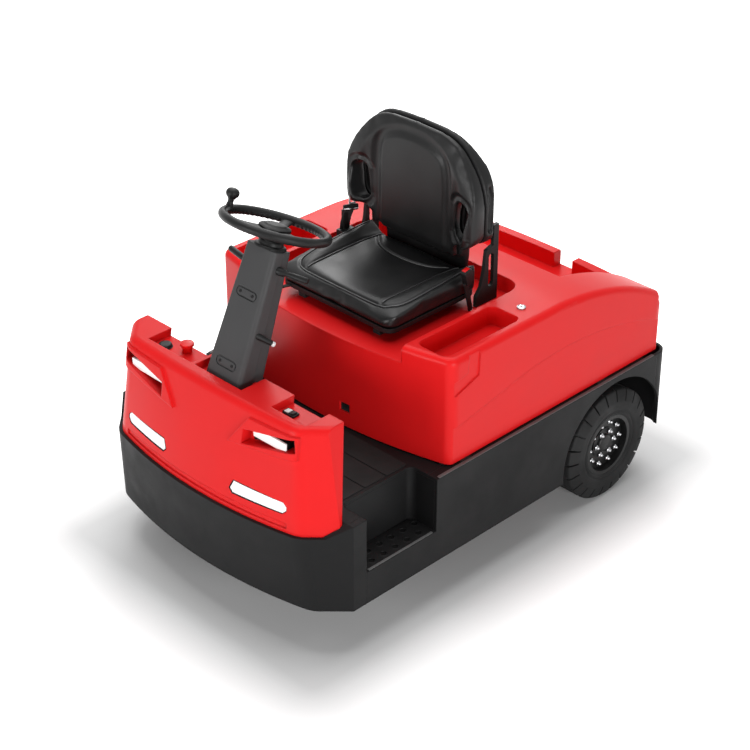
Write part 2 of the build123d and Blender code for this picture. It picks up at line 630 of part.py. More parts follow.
def console():
    solid = console_form()
    deck_x = console_front(CONSOLE_Z) - DECK_LIP
    for low, high in DECKS:
        solid -= block(STEP_REAR_X, deck_x, low * CONSOLE_TOP_HALF, high * CONSOLE_TOP_HALF,
                       CONSOLE_Z - DECK_DROP, CONSOLE_Z)
    raised = lamp_cut(LAMP_FRAME) & console_form(-FRAME_RISE)
    pocket = lamp_cut(LAMP_POCKET) - console_form(POCKET_DEPTH)
    marker_pocket = lamp_cut(MARKER) - console_form(LAMP_DEPTH)
    solid += [raised, mirrored(raised)]
    solid -= [pocket, mirrored(pocket), marker_pocket, mirrored(marker_pocket)]
    z0 = NOSE_Z + GROOVE_RISE
    groove = slab(BUMPER_END_X, FRONT_REACH, CONSOLE_HALF_WIDTH - GROOVE_END, z0, z0 + GROOVE_H)
    return solid - (groove - console_form(GROOVE_DEPTH))


def headlamp():
    """Flat bar on the floor of its pocket, level and square to the front."""
    front = slab(BUMPER_END_X, console_front(CONSOLE_Z), HALF_WIDTH, NOSE_Z, CONSOLE_Z)
    return (lamp_cut(LAMP_BAR) & lamp_cut(LAMP_POCKET) & front) - console_form(POCKET_DEPTH)


def marker_lamp():
    return (lamp_cut(MARKER) & console_form(LAMP_DEPTH - LAMP_T)) - console_form(LAMP_DEPTH)


def column_frame(along, x=0.0, y=0.0):
    """A plane across the steering column, at a distance from the steering wheel's middle."""
    tilt = radians(COLUMN_TILT)
    axis = Vector(-sin(tilt), 0, cos(tilt))
    ahead = Vector(cos(tilt), 0, sin(tilt))
    origin = Vector(WHEEL_X, y, WHEEL_Z) + axis * along + ahead * x
    return Plane(origin, x_dir=ahead, z_dir=axis)


def column_form(step):
    """Tapered column, narrowed by a step on each side."""
    sections = []
    for along, (depth, width) in ((-COLUMN_TOP - COLUMN_LENGTH, COLUMN_FOOT), (-COLUMN_TOP, COLUMN_HEAD)):
        sections.append(column_frame(along) * RectangleRounded(depth, width - 2 * step, COLUMN_EDGE_R))
    return loft(sections, ruled=True)


def steering_column(foot_room):
    """Tapered housing that stands in the console's top, with a collar and the shaft's bore."""
    cover = column_form(0) & column_frame(-COLUMN_TOP - COLUMN_LENGTH) * Pos(COLUMN_FOOT[0] / 2, 0, 0) * Box(
        COLUMN_FOOT[0], 2 * COLUMN_FOOT[1], COLUMN_LENGTH, align=BASE)
    solid = cover + column_form(COLUMN_STEP)
    length, width, depth = PLATE_SLOT
    for drop in PLATE_DROPS:
        reach = (drop - COLUMN_TOP) / COLUMN_LENGTH
        face_x = (COLUMN_HEAD[0] * (1 - reach) + COLUMN_FOOT[0] * reach) / 2
        place = column_frame(-drop, face_x - depth)
        plane = Plane(place.origin, x_dir=(0, 1, 0), z_dir=place.x_dir)
        solid -= extrude(plane * SlotOverall(length, width), COLUMN_FOOT[0])
    solid = largest(solid - foot_room)
    collar = column_frame(-COLUMN_TOP) * Cylinder(COLLAR_R, COLLAR_H, align=BASE)
    seat = COLUMN_TOP + SHAFT_SEAT
    bore = column_frame(-seat) * Cylinder(SHAFT_R + SLIP, seat, align=BASE)
    return solid + collar - bore


def steering_wheel():
    solid = Torus(WHEEL_R, RIM_TUBE_R)
    for spoke in range(SPOKES):
        solid += Rot(0, 0, 90 + 360 * spoke / SPOKES) * Pos(WHEEL_R / 2, 0, -SPOKE_DROP) * Box(
            WHEEL_R, SPOKE_W, SPOKE_T)
    solid += Pos(0, 0, 1 - WHEEL_HUB_H / 2) * Cylinder(WHEEL_HUB_R, WHEEL_HUB_H)
    shaft_length = 2 * COLUMN_TOP - SHAFT_R
    solid += Pos(0, 0, -COLUMN_TOP) * Cylinder(SHAFT_R, shaft_length)
    return column_frame(0) * solid


def spinner_knob():
    angle = radians(KNOB_ANGLE)
    place = Pos(WHEEL_R * cos(angle), WHEEL_R * sin(angle), 0)
    stem = Pos(0, 0, KNOB_H / 2 + RIM_TUBE_R / 2) * Cylinder(KNOB_STEM_R, KNOB_H)
    ball = Pos(0, 0, RIM_TUBE_R + KNOB_H) * Sphere(KNOB_R)
    return column_frame(0) * (place * (stem + ball) - Torus(WHEEL_R, RIM_TUBE_R))


# Levers on the column, from the steering wheel's middle: base and tip (x, y, z), radii of rod and grip
LEVERS = (
    ((54.0, -40.0, -120.0), (44.0, -150.0, -105.0), 5.0, 9.0),
    ((54.0, 40.0, -100.0), (16.0, 150.0, -114.0), 5.0, 8.0),
    ((149.0, 50.0, -265.0), (106.0, 100.0, -300.0), 5.0, 8.0),
)
GRIP_START = 0.6            # share of a lever's length


def levers(column):
    """Direction, signal and tilt levers, each with a thicker grip."""
    solids = []
    for base, tip, rod_r, grip_r in LEVERS:
        start = Vector(WHEEL_X, 0, WHEEL_Z) + Vector(*base)
        end = Vector(WHEEL_X, 0, WHEEL_Z) + Vector(*tip)
        middle = start + (end - start) * GRIP_START
        bar = rod(tuple(start), tuple(end), rod_r) + rod(tuple(middle), tuple(end), grip_r)
        solids.append(largest(bar - column))
    return solids


# Round controls on the decks: x behind the console's top front, y as a share of the top's half width, then
# radius and height of each step
BUTTONS = (
    (106.0, -0.486, ((15.0, 18.0), (21.0, 12.0))),
    (78.0, -0.645, ((20.0, 12.0),)),
)
ROCKER = (86.0, 0.62, 24.0, 44.0, 10.0)


def dash_controls():
    deck_z = CONSOLE_Z - DECK_DROP
    front_x = console_front(CONSOLE_Z)
    solids = []
    for setback, y, steps in BUTTONS:
        button = []
        z = deck_z
        for radius, height in steps:
            place = Pos(front_x - setback, y * CONSOLE_TOP_HALF, z)
            button.append(place * Cylinder(radius, height, align=BASE))
            z += height
        solids.append(Part() + button)
    setback, y, *size = ROCKER
    solids.append(Pos(front_x - setback, y * CONSOLE_TOP_HALF, deck_z) * Box(*size, align=BASE))
    return solids


TREADLE = (-230.0, 80.0, 110.0, 62.0)   # y, width, length and height
TREADLE_GAP = 30.0
BRAKE_Y = -90.0
BRAKE_PAD = (12.0, 90.0, 60.0)
BRAKE_RISE = (92.0, 190.0)              # pad and hanger above the floor
BRAKE_REACH = (64.0, 20.0)              # pad and hanger behind the console's foot
BRAKE_ARM_R = 9.0
BRAKE_TILT = 35.0
TREADLE_T = 10.0


def pedals():
    """Brake pedal hung from the console, and a treadle accelerator on the floor."""
    rear = console_front(NOSE_Z) - CONSOLE_DEPTH - CHAMFER_START / 2
    y, width, length, height = TREADLE
    toe_x = rear - TREADLE_GAP
    outline = Polyline((toe_x - length, SILL_Z), (toe_x, SILL_Z), (toe_x - 2 * TREADLE_T, SILL_Z + height),
                       (toe_x - 3 * TREADLE_T, SILL_Z + height), close=True)
    treadle = side_face(outline, y, y + width)
    pad_x, hanger_x = (rear - reach for reach in BRAKE_REACH)
    pad_z, hanger_z = (SILL_Z + rise for rise in BRAKE_RISE)
    arm = rod((pad_x, BRAKE_Y, pad_z), (hanger_x + CONSOLE_DEPTH / 2, BRAKE_Y, hanger_z), BRAKE_ARM_R)
    pad = Pos(pad_x, BRAKE_Y, pad_z) * Rot(0, BRAKE_TILT, 0) * Box(*BRAKE_PAD)
    return [treadle, largest(arm + pad - console_form())]


def hood_form(inset, side_inset):
    """Outer form of the hood, or the room inside it, its upper edges rounded."""
    top = HOOD_TOP_Z - inset
    tail = HOOD_TAIL_Z - inset
    rear = HOOD_REAR_X + inset
    half = HOOD_HALF_WIDTH - side_inset
    profile = [
        Line((rear, HOOD_Z), (HOOD_FRONT_X, HOOD_Z)),
        Line((HOOD_FRONT_X, HOOD_Z), (HOOD_FRONT_X, top)),
        Line((HOOD_FRONT_X, top), (HOOD_FALL_X, top)),
        TangentArc((HOOD_FALL_X, top), (rear, tail), tangent=(-1, 0)),
        Line((rear, tail), (rear, HOOD_Z)),
    ]
    plan = bowed_plan(rear, HOOD_FRONT_X - inset, HOOD_BOW, half, HOOD_FRONT_CORNER_R - inset,
                      HOOD_REAR_CORNER_R - inset)
    form = side_face(profile, -half, half) & prism(plan, HOOD_Z, HOOD_TOP_Z)
    upper = [e for e in form.edges() if e.center().Z > tail - TAIL_CROWN and e.length > inset
             and abs(e.tangent_at(0.5).Z) < 0.9 and abs(e.center().X - HOOD_FALL_X) > 1]
    return fillet(upper, HOOD_EDGE_R - inset)


def well_form(grow):
    length = HOOD_FRONT_X + WELL_GAP - WELL_REAR_X
    plan = Pos(WELL_REAR_X - grow + length / 2, 0) * RectangleRounded(
        length, 2 * (WELL_HALF_WIDTH + grow), WELL_CORNER_R + grow)
    return prism(plan, WELL_Z - grow, HOOD_TOP_Z + 1)


def bin_form(grow):
    """Storage bin behind the seat, with a ramp at its front."""
    floor_x = BIN_FRONT_X - BIN_RAMP
    profile = Polyline((BIN_REAR_X - grow, BIN_Z - grow), (floor_x + grow / 2, BIN_Z - grow),
                       (BIN_FRONT_X + grow, HOOD_TOP_Z + 1), (BIN_REAR_X - grow, HOOD_TOP_Z + 1), close=True)
    half = BIN_HALF_WIDTH + grow
    return side_face(profile, -half, half)


def pod_tray(grow):
    plan = Pos(TRAY_X + TRAY_LENGTH / 2, TRAY_Y + TRAY_WIDTH / 2) * RectangleRounded(
        TRAY_LENGTH + 2 * grow, TRAY_WIDTH + 2 * grow, TRAY_CORNER_R + grow)
    return prism(plan, HOOD_TOP_Z - TRAY_DEPTH - grow, HOOD_TOP_Z + 1)


def hinge_eye():
    """Knuckle that hangs from the hood's rear wall."""
    wall_x = HOOD_REAR_X + HOOD_WALL
    arm = Pos(HINGE_X, HINGE_Z) * Circle(HINGE_EYE_R)
    arm += make_face(Polyline((wall_x, HINGE_Z), (wall_x, HINGE_Z + HINGE_ARM),
                              (HINGE_X, HINGE_Z + HINGE_EYE_R), (HINGE_X, HINGE_Z), close=True))
    arm -= Pos(HINGE_X, HINGE_Z) * Circle(HINGE_PIN_R + SLIP)
    return Pos(0, -HINGE_EYE_W / 2, 0) * extrude(Plane.XZ * arm, HINGE_EYE_W, dir=(0, 1, 0))


# Crease on the hood's side: x behind the hood's front and z over its lower edge
SWAGE = ((0.0, 126.0), (92.0, 120.0), (387.0, 181.0), (682.0, 191.0))
SWAGE_TAIL = 99.0           # crease over the lower edge at the rear wall
# L-shaped groove at the side's front corner: x behind the front, z below the top
CORNER_GROOVE = ((184.0, 0.0), (180.0, 87.0), (67.0, 127.0), (0.0, 150.0), (0.0, 108.0), (29.0, 90.0),
                 (134.0, 62.0), (140.0, 0.0))
GROOVE_SIDE_DEPTH = 4.0


def side_cuts():
    """Shallow cuts in the hood's left side: below the crease, and the groove at its front corner."""
    start, dip, rise, top = [(HOOD_FRONT_X - x, HOOD_Z + z) for x, z in SWAGE]
    tail = (HOOD_REAR_X, HOOD_Z + SWAGE_TAIL)
    rear, front = (HOOD_REAR_X, HOOD_Z), (HOOD_FRONT_X, HOOD_Z)
    crease = [Line(start, dip), Line(dip, rise), ThreePointArc(rise, top, tail), Line(tail, rear),
              Line(rear, front), Line(front, start)]
    groove = Polyline(*[(HOOD_FRONT_X - x, HOOD_TOP_Z - z) for x, z in CORNER_GROOVE], close=True)
    below = side_face(crease, HOOD_HALF_WIDTH - SWAGE_DEPTH, HOOD_HALF_WIDTH)
    return below + side_face(groove, HOOD_HALF_WIDTH - GROOVE_SIDE_DEPTH, HOOD_HALF_WIDTH)


def tail_cut():
    """Room above the crowned tail."""
    half = HOOD_HALF_WIDTH
    low = HOOD_TAIL_Z - TAIL_CROWN
    sides = Polyline((half, low), (half, HOOD_TOP_Z), (-half, HOOD_TOP_Z), (-half, low))
    crown = ThreePointArc((-half, low), (0, HOOD_TAIL_Z), (half, low))
    return front_prism([crown, *sides.edges()], HOOD_REAR_X, BIN_REAR_X)


def hood():
    shell = hood_form(0, 0)
    room = hood_form(HOOD_WALL, HOOD_WALL + SWAGE_DEPTH)
    for form in (well_form, bin_form, pod_tray):
        shell -= form(0)
        room -= form(HOOD_WALL)
    shell -= mirrored(pod_tray(0))
    room -= mirrored(pod_tray(HOOD_WALL))
    shell -= side_cuts() + mirrored(side_cuts()) + tail_cut()
    shell -= room - slab(HOOD_REAR_X, BIN_REAR_X, HOOD_HALF_WIDTH, BIN_Z - HOOD_WALL, HOOD_TOP_Z)
    shell -= block(HOOD_REAR_X - 1, BIN_REAR_X, *BIN_NOTCH, BIN_Z, HOOD_TOP_Z)
    width, height = SOCKET_SIZE
    socket_z = HOOD_Z + SOCKET_RISE
    shell -= block(HOOD_FRONT_X - HOOD_BOW, HOOD_FRONT_X + 1, SOCKET_Y - width / 2, SOCKET_Y + width / 2,
                   socket_z - height / 2, socket_z + height / 2)
    for _, sign in SIDES:
        shell += Pos(0, sign * HINGE_Y, 0) * hinge_eye()
    return shell


def hood_hinges():
    """Ears on the rear cross member, each pair with its pin."""
    heel = HINGE_PIN_R
    ear = Pos(HINGE_X, HINGE_Z) * Circle(HINGE_EYE_R)
    ear += make_face(Polyline((HINGE_X, HINGE_Z + HINGE_EYE_R), (CROSS_X + CROSS_LENGTH, FLOOR_Z),
                              (CROSS_X + heel, FLOOR_Z), (HINGE_X + heel, HINGE_Z - HINGE_EYE_R + 2),
                              close=True))
    solids = []
    inner = HINGE_EYE_W / 2 + 1
    outer = inner + HINGE_EAR_T
    for _, sign in SIDES:
        y = sign * HINGE_Y
        hinge = across(HINGE_PIN_R, y - outer, y + outer, HINGE_X, HINGE_Z)
        for y0 in (y - outer, y + inner):
            hinge += Pos(0, y0, 0) * extrude(Plane.XZ * ear, HINGE_EAR_T, dir=(0, 1, 0))
        solids.append(hinge)
    return solids


def hood_buffers():
    length, width = BUFFER_SIZE
    rear_gap, front_gap = BUFFER_ENDS
    y = HALF_WIDTH - SKIRT_T - FLANGE_W / 2
    solids = []
    for x in (HOOD_REAR_X + rear_gap, HOOD_FRONT_X - front_gap):
        buffer = block(x - length / 2, x + length / 2, y - width / 2, y + width / 2, SILL_Z, HOOD_Z - SLIP)
        solids += [buffer, mirrored(buffer)]
    return solids


def seat_rails():
    rear_gap, front_gap = SEAT_RAIL_ENDS
    rail = block(SEAT_REAR_X + rear_gap, SEAT_FRONT_X - front_gap, SEAT_RAIL_Y - SEAT_RAIL_W / 2,
                 SEAT_RAIL_Y + SEAT_RAIL_W / 2, WELL_Z, SEAT_PAN_Z)
    return [rail, mirrored(rail)]


def seat_plan(inset):
    return Pos((SEAT_FRONT_X + SEAT_REAR_X) / 2, 0) * RectangleRounded(
        SEAT_DEPTH - 2 * inset, 2 * (SEAT_HALF_WIDTH - inset), SEAT_CORNER_R - inset)


def seat_pan():
    return prism(seat_plan(SEAT_PAN_INSET), SEAT_PAN_Z, SEAT_PAN_Z + SEAT_PAN_T)


def seat_cushion():
    """Cushion with a bolster along each side that rises to the rear, and a rounded front lip."""
    half, low = SEAT_HALF_WIDTH, CUSHION_Z
    lip_z, rear_z = low + BOLSTER_FRONT_H, low + BOLSTER_H
    outer = [(half, lip_z), (half - BOLSTER_W / 4, rear_z), (half - BOLSTER_W / 3, rear_z),
             (half - BOLSTER_W, low + CUSHION_H)]
    section = [(half, low)] + outer + [(-y, z) for y, z in reversed(outer)] + [(-half, low)]
    form = front_prism(Polyline(*section, close=True), SEAT_REAR_X, SEAT_FRONT_X)
    lip_start = (SEAT_FRONT_X, low + BOLSTER_FRONT_H / 2)
    lip_end = (SEAT_FRONT_X - BOLSTER_FRONT_H, lip_z)
    side = Polyline(lip_end, (SEAT_REAR_X, rear_z), (SEAT_REAR_X, low), (SEAT_FRONT_X, low), lip_start)
    lip = RadiusArc(lip_start, lip_end, -BOLSTER_FRONT_H)
    return form & side_face([lip, *side.edges()], -half, half) & prism(seat_plan(0), low, rear_z)


# Left half of the seat back's outline, seen from the front: ends and middles of its lines and arcs, with y from
# the cushion's side and z over the back's foot
BACK_WAIST = ((-80.0, 0.0), (-74.0, 100.0))
BACK_ARCS = (
    ((-74.0, 100.0), (-58.0, 127.0), (-25.0, 135.0)),
    ((-25.0, 135.0), (14.0, 155.0), (27.0, 210.0)),
    ((27.0, 210.0), (15.0, 322.0), (-40.0, 412.0)),
    ((-40.0, 412.0), (-84.0, 449.0), (-140.0, 466.0)),
)
BACK_HOLE = (-37.0, 220.0, 122.0, 48.0, 6.0)    # y, z, length, width and slant in degrees
# Pocket in the shell's side: x from its rear face and z over the back's foot
SIDE_POCKET = ((10.0, 178.0), (38.0, 178.0), (40.0, 240.0), (22.0, 350.0), (14.0, 350.0))


def back_points(points, sign):
    return [(sign * (SEAT_HALF_WIDTH + y), BACK_Z + z) for y, z in points]


def back_outline():
    """Back of the seat, seen from the front: waist, ears, crown and the two hand holes."""
    edges = []
    crown = []
    for _, sign in SIDES:
        waist = back_points(BACK_WAIST, sign)
        arcs = [back_points(arc, sign) for arc in BACK_ARCS]
        edges += [Line((0, BACK_Z), waist[0]), Line(*waist)] + [ThreePointArc(*arc) for arc in arcs]
        crown.append(arcs[-1][-1])
    edges.append(ThreePointArc(crown[0], (0, BACK_Z + BACK_H), crown[1]))
    face = make_face(edges)
    *middle, length, width, slant = BACK_HOLE
    for _, sign in SIDES:
        (y, z), = back_points([middle], sign)
        face -= Pos(y, z) * Rot(0, 0, 90 - sign * slant) * SlotOverall(length, width)
    return face


def back_half_width():
    return SEAT_HALF_WIDTH + max(y for arc in BACK_ARCS for y, _ in arc)


def back_slab(x0, x1):
    return Pos(x0, 0, 0) * extrude(Plane.YZ * back_outline(), x1 - x0, dir=(1, 0, 0))


def cushion_room():
    """Room that the cushion takes in front of the back's waist."""
    return slab(SEAT_REAR_X - SLIP, SEAT_FRONT_X, HALF_WIDTH, BACK_Z, CUSHION_Z + BOLSTER_H + SLIP)


def seat_shell():
    """Moulded shell behind the pad, bevelled at its rear, with a pocket in each side."""
    front_x, edge_x = BACK_X + BACK_SHELL_T, BACK_X + BACK_EDGE
    top = BACK_Z + BACK_H
    half = back_half_width()
    inner = half - BACK_EDGE
    plan = Polyline((front_x, -half), (front_x, half), (edge_x, half), (BACK_X, inner), (BACK_X, -inner),
                    (edge_x, -half), close=True)
    side = Polyline((BACK_X, BACK_Z), (front_x, BACK_Z), (front_x, top), (front_x - BACK_EDGE, top),
                    (BACK_X, top - 2 * BACK_SHELL_T), close=True)
    slab_form = back_slab(BACK_X, front_x)
    solid = slab_form & prism(make_face(plan), BACK_Z, top) & side_face(side, -half, half)
    outline = Polyline(*[(BACK_X + x, BACK_Z + z) for x, z in SIDE_POCKET], close=True)
    pocket = side_face(outline, SEAT_HALF_WIDTH - SHELL_POCKET, half) - Pos(0, -SHELL_POCKET, 0) * slab_form
    return largest(solid - pocket - mirrored(pocket) - cushion_room())


def seat_back():
    """Padded front of the back with side wings, clear of the cushion."""
    x0 = BACK_X + BACK_SHELL_T + SLIP
    pad_x = x0 + BACK_PAD_T
    wing_x = pad_x + WING_REACH
    top = BACK_Z + BACK_H
    half = back_half_width()
    edges = [Line((x0, -half), (x0, half)), Line((pad_x, half - WING_INSET), (pad_x, WING_INSET - half))]
    for _, sign in SIDES:
        side_y, edge_y, root_y = (sign * (half - inset) for inset in (0, WING_W, WING_INSET))
        round_y = sign * (half - WING_R)
        edges += [Line((x0, side_y), (pad_x, side_y)),
                  ThreePointArc((pad_x, side_y), (wing_x - WING_R, round_y), (wing_x, edge_y)),
                  ThreePointArc((wing_x, edge_y), (pad_x + WING_R, (edge_y + root_y) / 2), (pad_x, root_y))]
    side = Polyline((x0, BACK_Z), (wing_x, BACK_Z), (wing_x, BACK_Z + WING_TOP), (x0 + BACK_TOP_T, top),
                    (x0, top), close=True)
    form = prism(make_face(edges), BACK_Z, top) & side_face(side, -half, half)
    return largest((form & back_slab(x0, wing_x)) - cushion_room())


# Side of a bracket that carries the back: x from the back's rear face, z over the well's floor
BRACKET = ((-22.0, 0.0), (70.0, 0.0), (70.0, 34.0), (50.0, 60.0), (38.0, 110.0), (30.0, 176.0), (0.0, 186.0),
           (0.0, 250.0), (-22.0, 250.0))
BRACKET_SLOT = (8.0, 105.0, 110.0, 22.0)    # x, z, length and width


def seat_brackets():
    outline = make_face(Polyline(*[(BACK_X + x, WELL_Z + z) for x, z in BRACKET], close=True))
    x, z, length, width = BRACKET_SLOT
    outline -= Pos(BACK_X + x, WELL_Z + z) * Rot(0, 0, 90) * SlotOverall(length, width)
    plate = Pos(0, SEAT_HALF_WIDTH + BRACKET_GAP, 0) * extrude(Plane.XZ * outline, BRACKET_T, dir=(0, 1, 0))
    return [plate, mirrored(plate)]


# Belt pieces beside the cushion: x from its rear and length, y gap and width, z over the well's floor and top
BUCKLE = ((78.0, 16.0, 7.0, 14.0, 0.0, 110.0), (72.0, 28.0, 3.0, 22.0, 100.0, 146.0))
REEL = ((48.0, 50.0, 9.0, 30.0, 0.0, 90.0), (63.0, 20.0, 19.0, 12.0, 80.0, 155.0))


def belt_piece(rows, sign):
    blocks = []
    for x, length, gap, width, low, high in rows:
        y0 = SEAT_HALF_WIDTH + gap
        x0 = SEAT_REAR_X + x
        blocks.append(block(x0, x0 + length, y0, y0 + width, WELL_Z + low, WELL_Z + high))
    solid = Part() + blocks
    return solid if sign > 0 else mirrored(solid)


def hood_lock():
    behind, outside = LOCK_GAP
    return Pos(TRAY_X - behind, TRAY_Y + outside, HOOD_TOP_Z + LOCK_H / 2) * Cylinder(LOCK_R, LOCK_H)


def tail_lamps():
    width, height, depth = TAIL_LAMP
    y1 = HOOD_HALF_WIDTH - TAIL_LAMP_INSET
    z0 = HOOD_Z + TAIL_LAMP_RISE
    solid = block(HOOD_REAR_X - depth, HOOD_REAR_X, y1 - width, y1, z0, z0 + height)
    return [solid, mirrored(solid)]


def write(name, solids):
    shape = Compound(children=[Pos(AXLE_X, 0, 0) * s for s in solids]) if isinstance(solids, list) else (
        Pos(AXLE_X, 0, 0) * solids)
    export_step(shape, f"parts/{name}.step")


os.makedirs("parts", exist_ok=True)
console_solid = console()
column = steering_column(console_solid)
wheel = tyre()
nodes = {
    "front_bumper": front_bumper(),
    "rear_panel": rear_panel(),
    "floor_plate": floor_plate(),
    "chassis_rails": rails(),
    "front_bridge": front_bridge(),
    "rear_cross_member": rear_cross(),
    "battery_tray": battery_tray(),
    "battery": battery(),
    "rear_axle": rear_axle(),
    "drive_motor": drive_motor(),
    "tow_coupler": tow_coupler(),
    "console": console_solid,
    "dash_controls": dash_controls(),
    "steering_column": column,
    "column_levers": levers(column),
    "pedals": pedals(),
    "hood_hinges": hood_hinges(),
    "hood_buffers": hood_buffers(),
    "steering_wheel": steering_wheel(),
    "spinner_knob": spinner_knob(),
    "steering_fork": steering_fork(),
    "front_pin": front_pin(),
    "front_tyre": Pos(WHEELBASE, 0, TYRE_R) * wheel,
    "front_rim": Pos(WHEELBASE, 0, TYRE_R) * rim(FRONT_PIN_R + SLIP),
    "hood": hood(),
    "seat_rails": seat_rails(),
    "seat_pan": seat_pan(),
    "seat_cushion": seat_cushion(),
    "seat_shell": seat_shell(),
    "seat_back": seat_back(),
    "seat_brackets": seat_brackets(),
    "belt_buckle": belt_piece(BUCKLE, 1),
    "belt_reel": belt_piece(REEL, -1),
    "hood_lock": hood_lock(),
    "tail_lamps": tail_lamps(),
}
for side, sign in SIDES:
    place = Pos(0, sign * TRACK_HALF, TYRE_R)
    flip = Rot(0, 0, 0 if sign > 0 else 180)
    nodes[f"side_skirt_{side}"] = side_skirt() if sign > 0 else mirrored(side_skirt())
    nodes[f"step_{side}"] = step() if sign > 0 else mirrored(step())
    nodes[f"rear_tyre_{side}"] = place * wheel
    nodes[f"rear_rim_{side}"] = place * flip * rim(SPINDLE_R + SLIP)
    nodes[f"headlamp_{side}"] = headlamp() if sign > 0 else mirrored(headlamp())
    nodes[f"marker_lamp_{side}"] = marker_lamp() if sign > 0 else mirrored(marker_lamp())
for name, solids in nodes.items():
    write(name, solids)
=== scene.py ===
import json
from math import cos, pi, radians, sin

import bmesh
import bpy
from mathutils import Matrix, Vector
from mathutils.bvhtree import BVHTree
from mathutils.kdtree import KDTree


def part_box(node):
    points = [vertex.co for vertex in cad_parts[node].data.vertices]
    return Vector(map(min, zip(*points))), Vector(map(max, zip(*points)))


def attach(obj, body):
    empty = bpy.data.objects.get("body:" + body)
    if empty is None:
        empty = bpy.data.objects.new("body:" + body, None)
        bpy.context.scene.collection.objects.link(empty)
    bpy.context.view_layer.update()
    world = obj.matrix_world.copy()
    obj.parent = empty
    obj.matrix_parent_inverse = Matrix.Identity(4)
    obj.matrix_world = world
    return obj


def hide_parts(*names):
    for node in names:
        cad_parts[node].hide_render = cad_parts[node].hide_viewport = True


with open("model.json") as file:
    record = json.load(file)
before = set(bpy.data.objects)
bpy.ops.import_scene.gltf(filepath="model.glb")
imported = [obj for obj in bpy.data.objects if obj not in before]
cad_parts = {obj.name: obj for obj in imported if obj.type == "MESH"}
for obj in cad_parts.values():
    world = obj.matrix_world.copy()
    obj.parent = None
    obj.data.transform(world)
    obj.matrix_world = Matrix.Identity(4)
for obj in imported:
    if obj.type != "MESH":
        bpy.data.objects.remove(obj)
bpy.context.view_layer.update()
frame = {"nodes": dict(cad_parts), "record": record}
nodes = frame["nodes"]
scene = bpy.context.scene

AXLE_X = -482.0     # rear axle in the tractor's own frame
SIDES = (("left", 1), ("right", -1))
CORNERS = ((-1, -1), (1, -1), (1, 1), (-1, 1))
AHEAD = Vector((1, 0, 0))
BACKWARD = Vector((-1, 0, 0))
LEFTWARD = Vector((0, 1, 0))
UP = Vector((0, 0, 1))


def at(x, y, z):
    return Vector(((x + AXLE_X) / 1000, y / 1000, z / 1000))


def mesh_object(name, verts, faces, smooth=True):
    mesh = bpy.data.meshes.new(name)
    mesh.from_pydata([tuple(v) for v in verts], [], faces)
    mesh.validate()
    mesh.update()
    if smooth:
        mesh.shade_smooth()
    return scene_object(name, mesh)


def scene_object(name, data):
    obj = bpy.data.objects.new(name, data)
    scene.collection.objects.link(obj)
    return obj


def finish_piece(obj, body, material, replaces=()):
    """Gives a piece its material and its body, and hides the solids that it stands for."""
    obj.data.materials.clear()
    obj.data.materials.append(material)
    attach(obj, body)
    if replaces:
        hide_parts(*replaces)


def add_modifier(obj, kind, **settings):
    modifier = obj.modifiers.new(kind.lower(), kind)
    for key, value in settings.items():
        setattr(modifier, key, value)
    return modifier


def apply_modifiers(obj):
    """Bakes an object's modifiers into its own mesh."""
    graph = bpy.context.evaluated_depsgraph_get()
    mesh = bpy.data.meshes.new_from_object(obj.evaluated_get(graph))
    obj.modifiers.clear()
    obj.data = mesh


# Materials

SLOW_NOISE = {"Scale": 9.0, "Detail": 4.0}          # changes over a whole surface
SLOW_RANGE = {"From Min": 0.3, "From Max": 0.7}     # values of it that give the least and the most roughness
FINE_DETAIL = 3.0
CELL_SPREAD = 0.9
EDGE_SAMPLES = 6


def shader(name):
    material = bpy.data.materials.new(name)
    material.use_nodes = True
    tree = material.node_tree
    return material, tree, tree.nodes["Principled BSDF"]


def node(tree, kind, inputs=(), **settings):
    made = tree.nodes.new(kind)
    for key, value in settings.items():
        setattr(made, key, value)
    for key, value in dict(inputs).items():
        made.inputs[key].default_value = value
    return made


def surface(name, colour, rough, grain=600.0, bump=0.1, depth=0.0004, vary=0.12, cells=False, soft_edge=0.0,
            **shader_values):
    """A procedural finish: grain in the bump, with slow changes of colour and roughness."""
    material, tree, bsdf = shader(name)
    link = tree.links.new
    place = node(tree, "ShaderNodeTexCoord").outputs["Object"]
    slow = node(tree, "ShaderNodeTexNoise", SLOW_NOISE)
    if cells:
        spread = {"Scale": grain, "Randomness": CELL_SPREAD}
        fine = node(tree, "ShaderNodeTexVoronoi", spread, feature="SMOOTH_F1")
        height = fine.outputs["Distance"]
    else:
        fine = node(tree, "ShaderNodeTexNoise", {"Scale": grain, "Detail": FINE_DETAIL})
        height = fine.outputs["Fac"]
    link(place, slow.inputs["Vector"])
    link(place, fine.inputs["Vector"])
    least, most = rough * (1 - vary), min(1.0, rough * (1 + 2 * vary))
    ramp = node(tree, "ShaderNodeMapRange", {**SLOW_RANGE, "To Min": least, "To Max": most})
    link(slow.outputs["Fac"], ramp.inputs["Value"])
    link(ramp.outputs["Result"], bsdf.inputs["Roughness"])
    shade = node(tree, "ShaderNodeMix", data_type="RGBA")
    shade.inputs["A"].default_value = (*[c * (1 - vary) for c in colour], 1)
    shade.inputs["B"].default_value = (*[min(1.0, c * (1 + vary)) for c in colour], 1)
    link(slow.outputs["Fac"], shade.inputs["Factor"])
    link(shade.outputs["Result"], bsdf.inputs["Base Color"])
    raised = node(tree, "ShaderNodeBump", {"Strength": bump, "Distance": depth})
    link(height, raised.inputs["Height"])
    if soft_edge:
        edge = node(tree, "ShaderNodeBevel", {"Radius": soft_edge}, samples=EDGE_SAMPLES)
        link(edge.outputs["Normal"], raised.inputs["Normal"])
    link(raised.outputs["Normal"], bsdf.inputs["Normal"])
    for key, value in shader_values.items():
        bsdf.inputs[key.replace("_", " ")].default_value = value
    return material


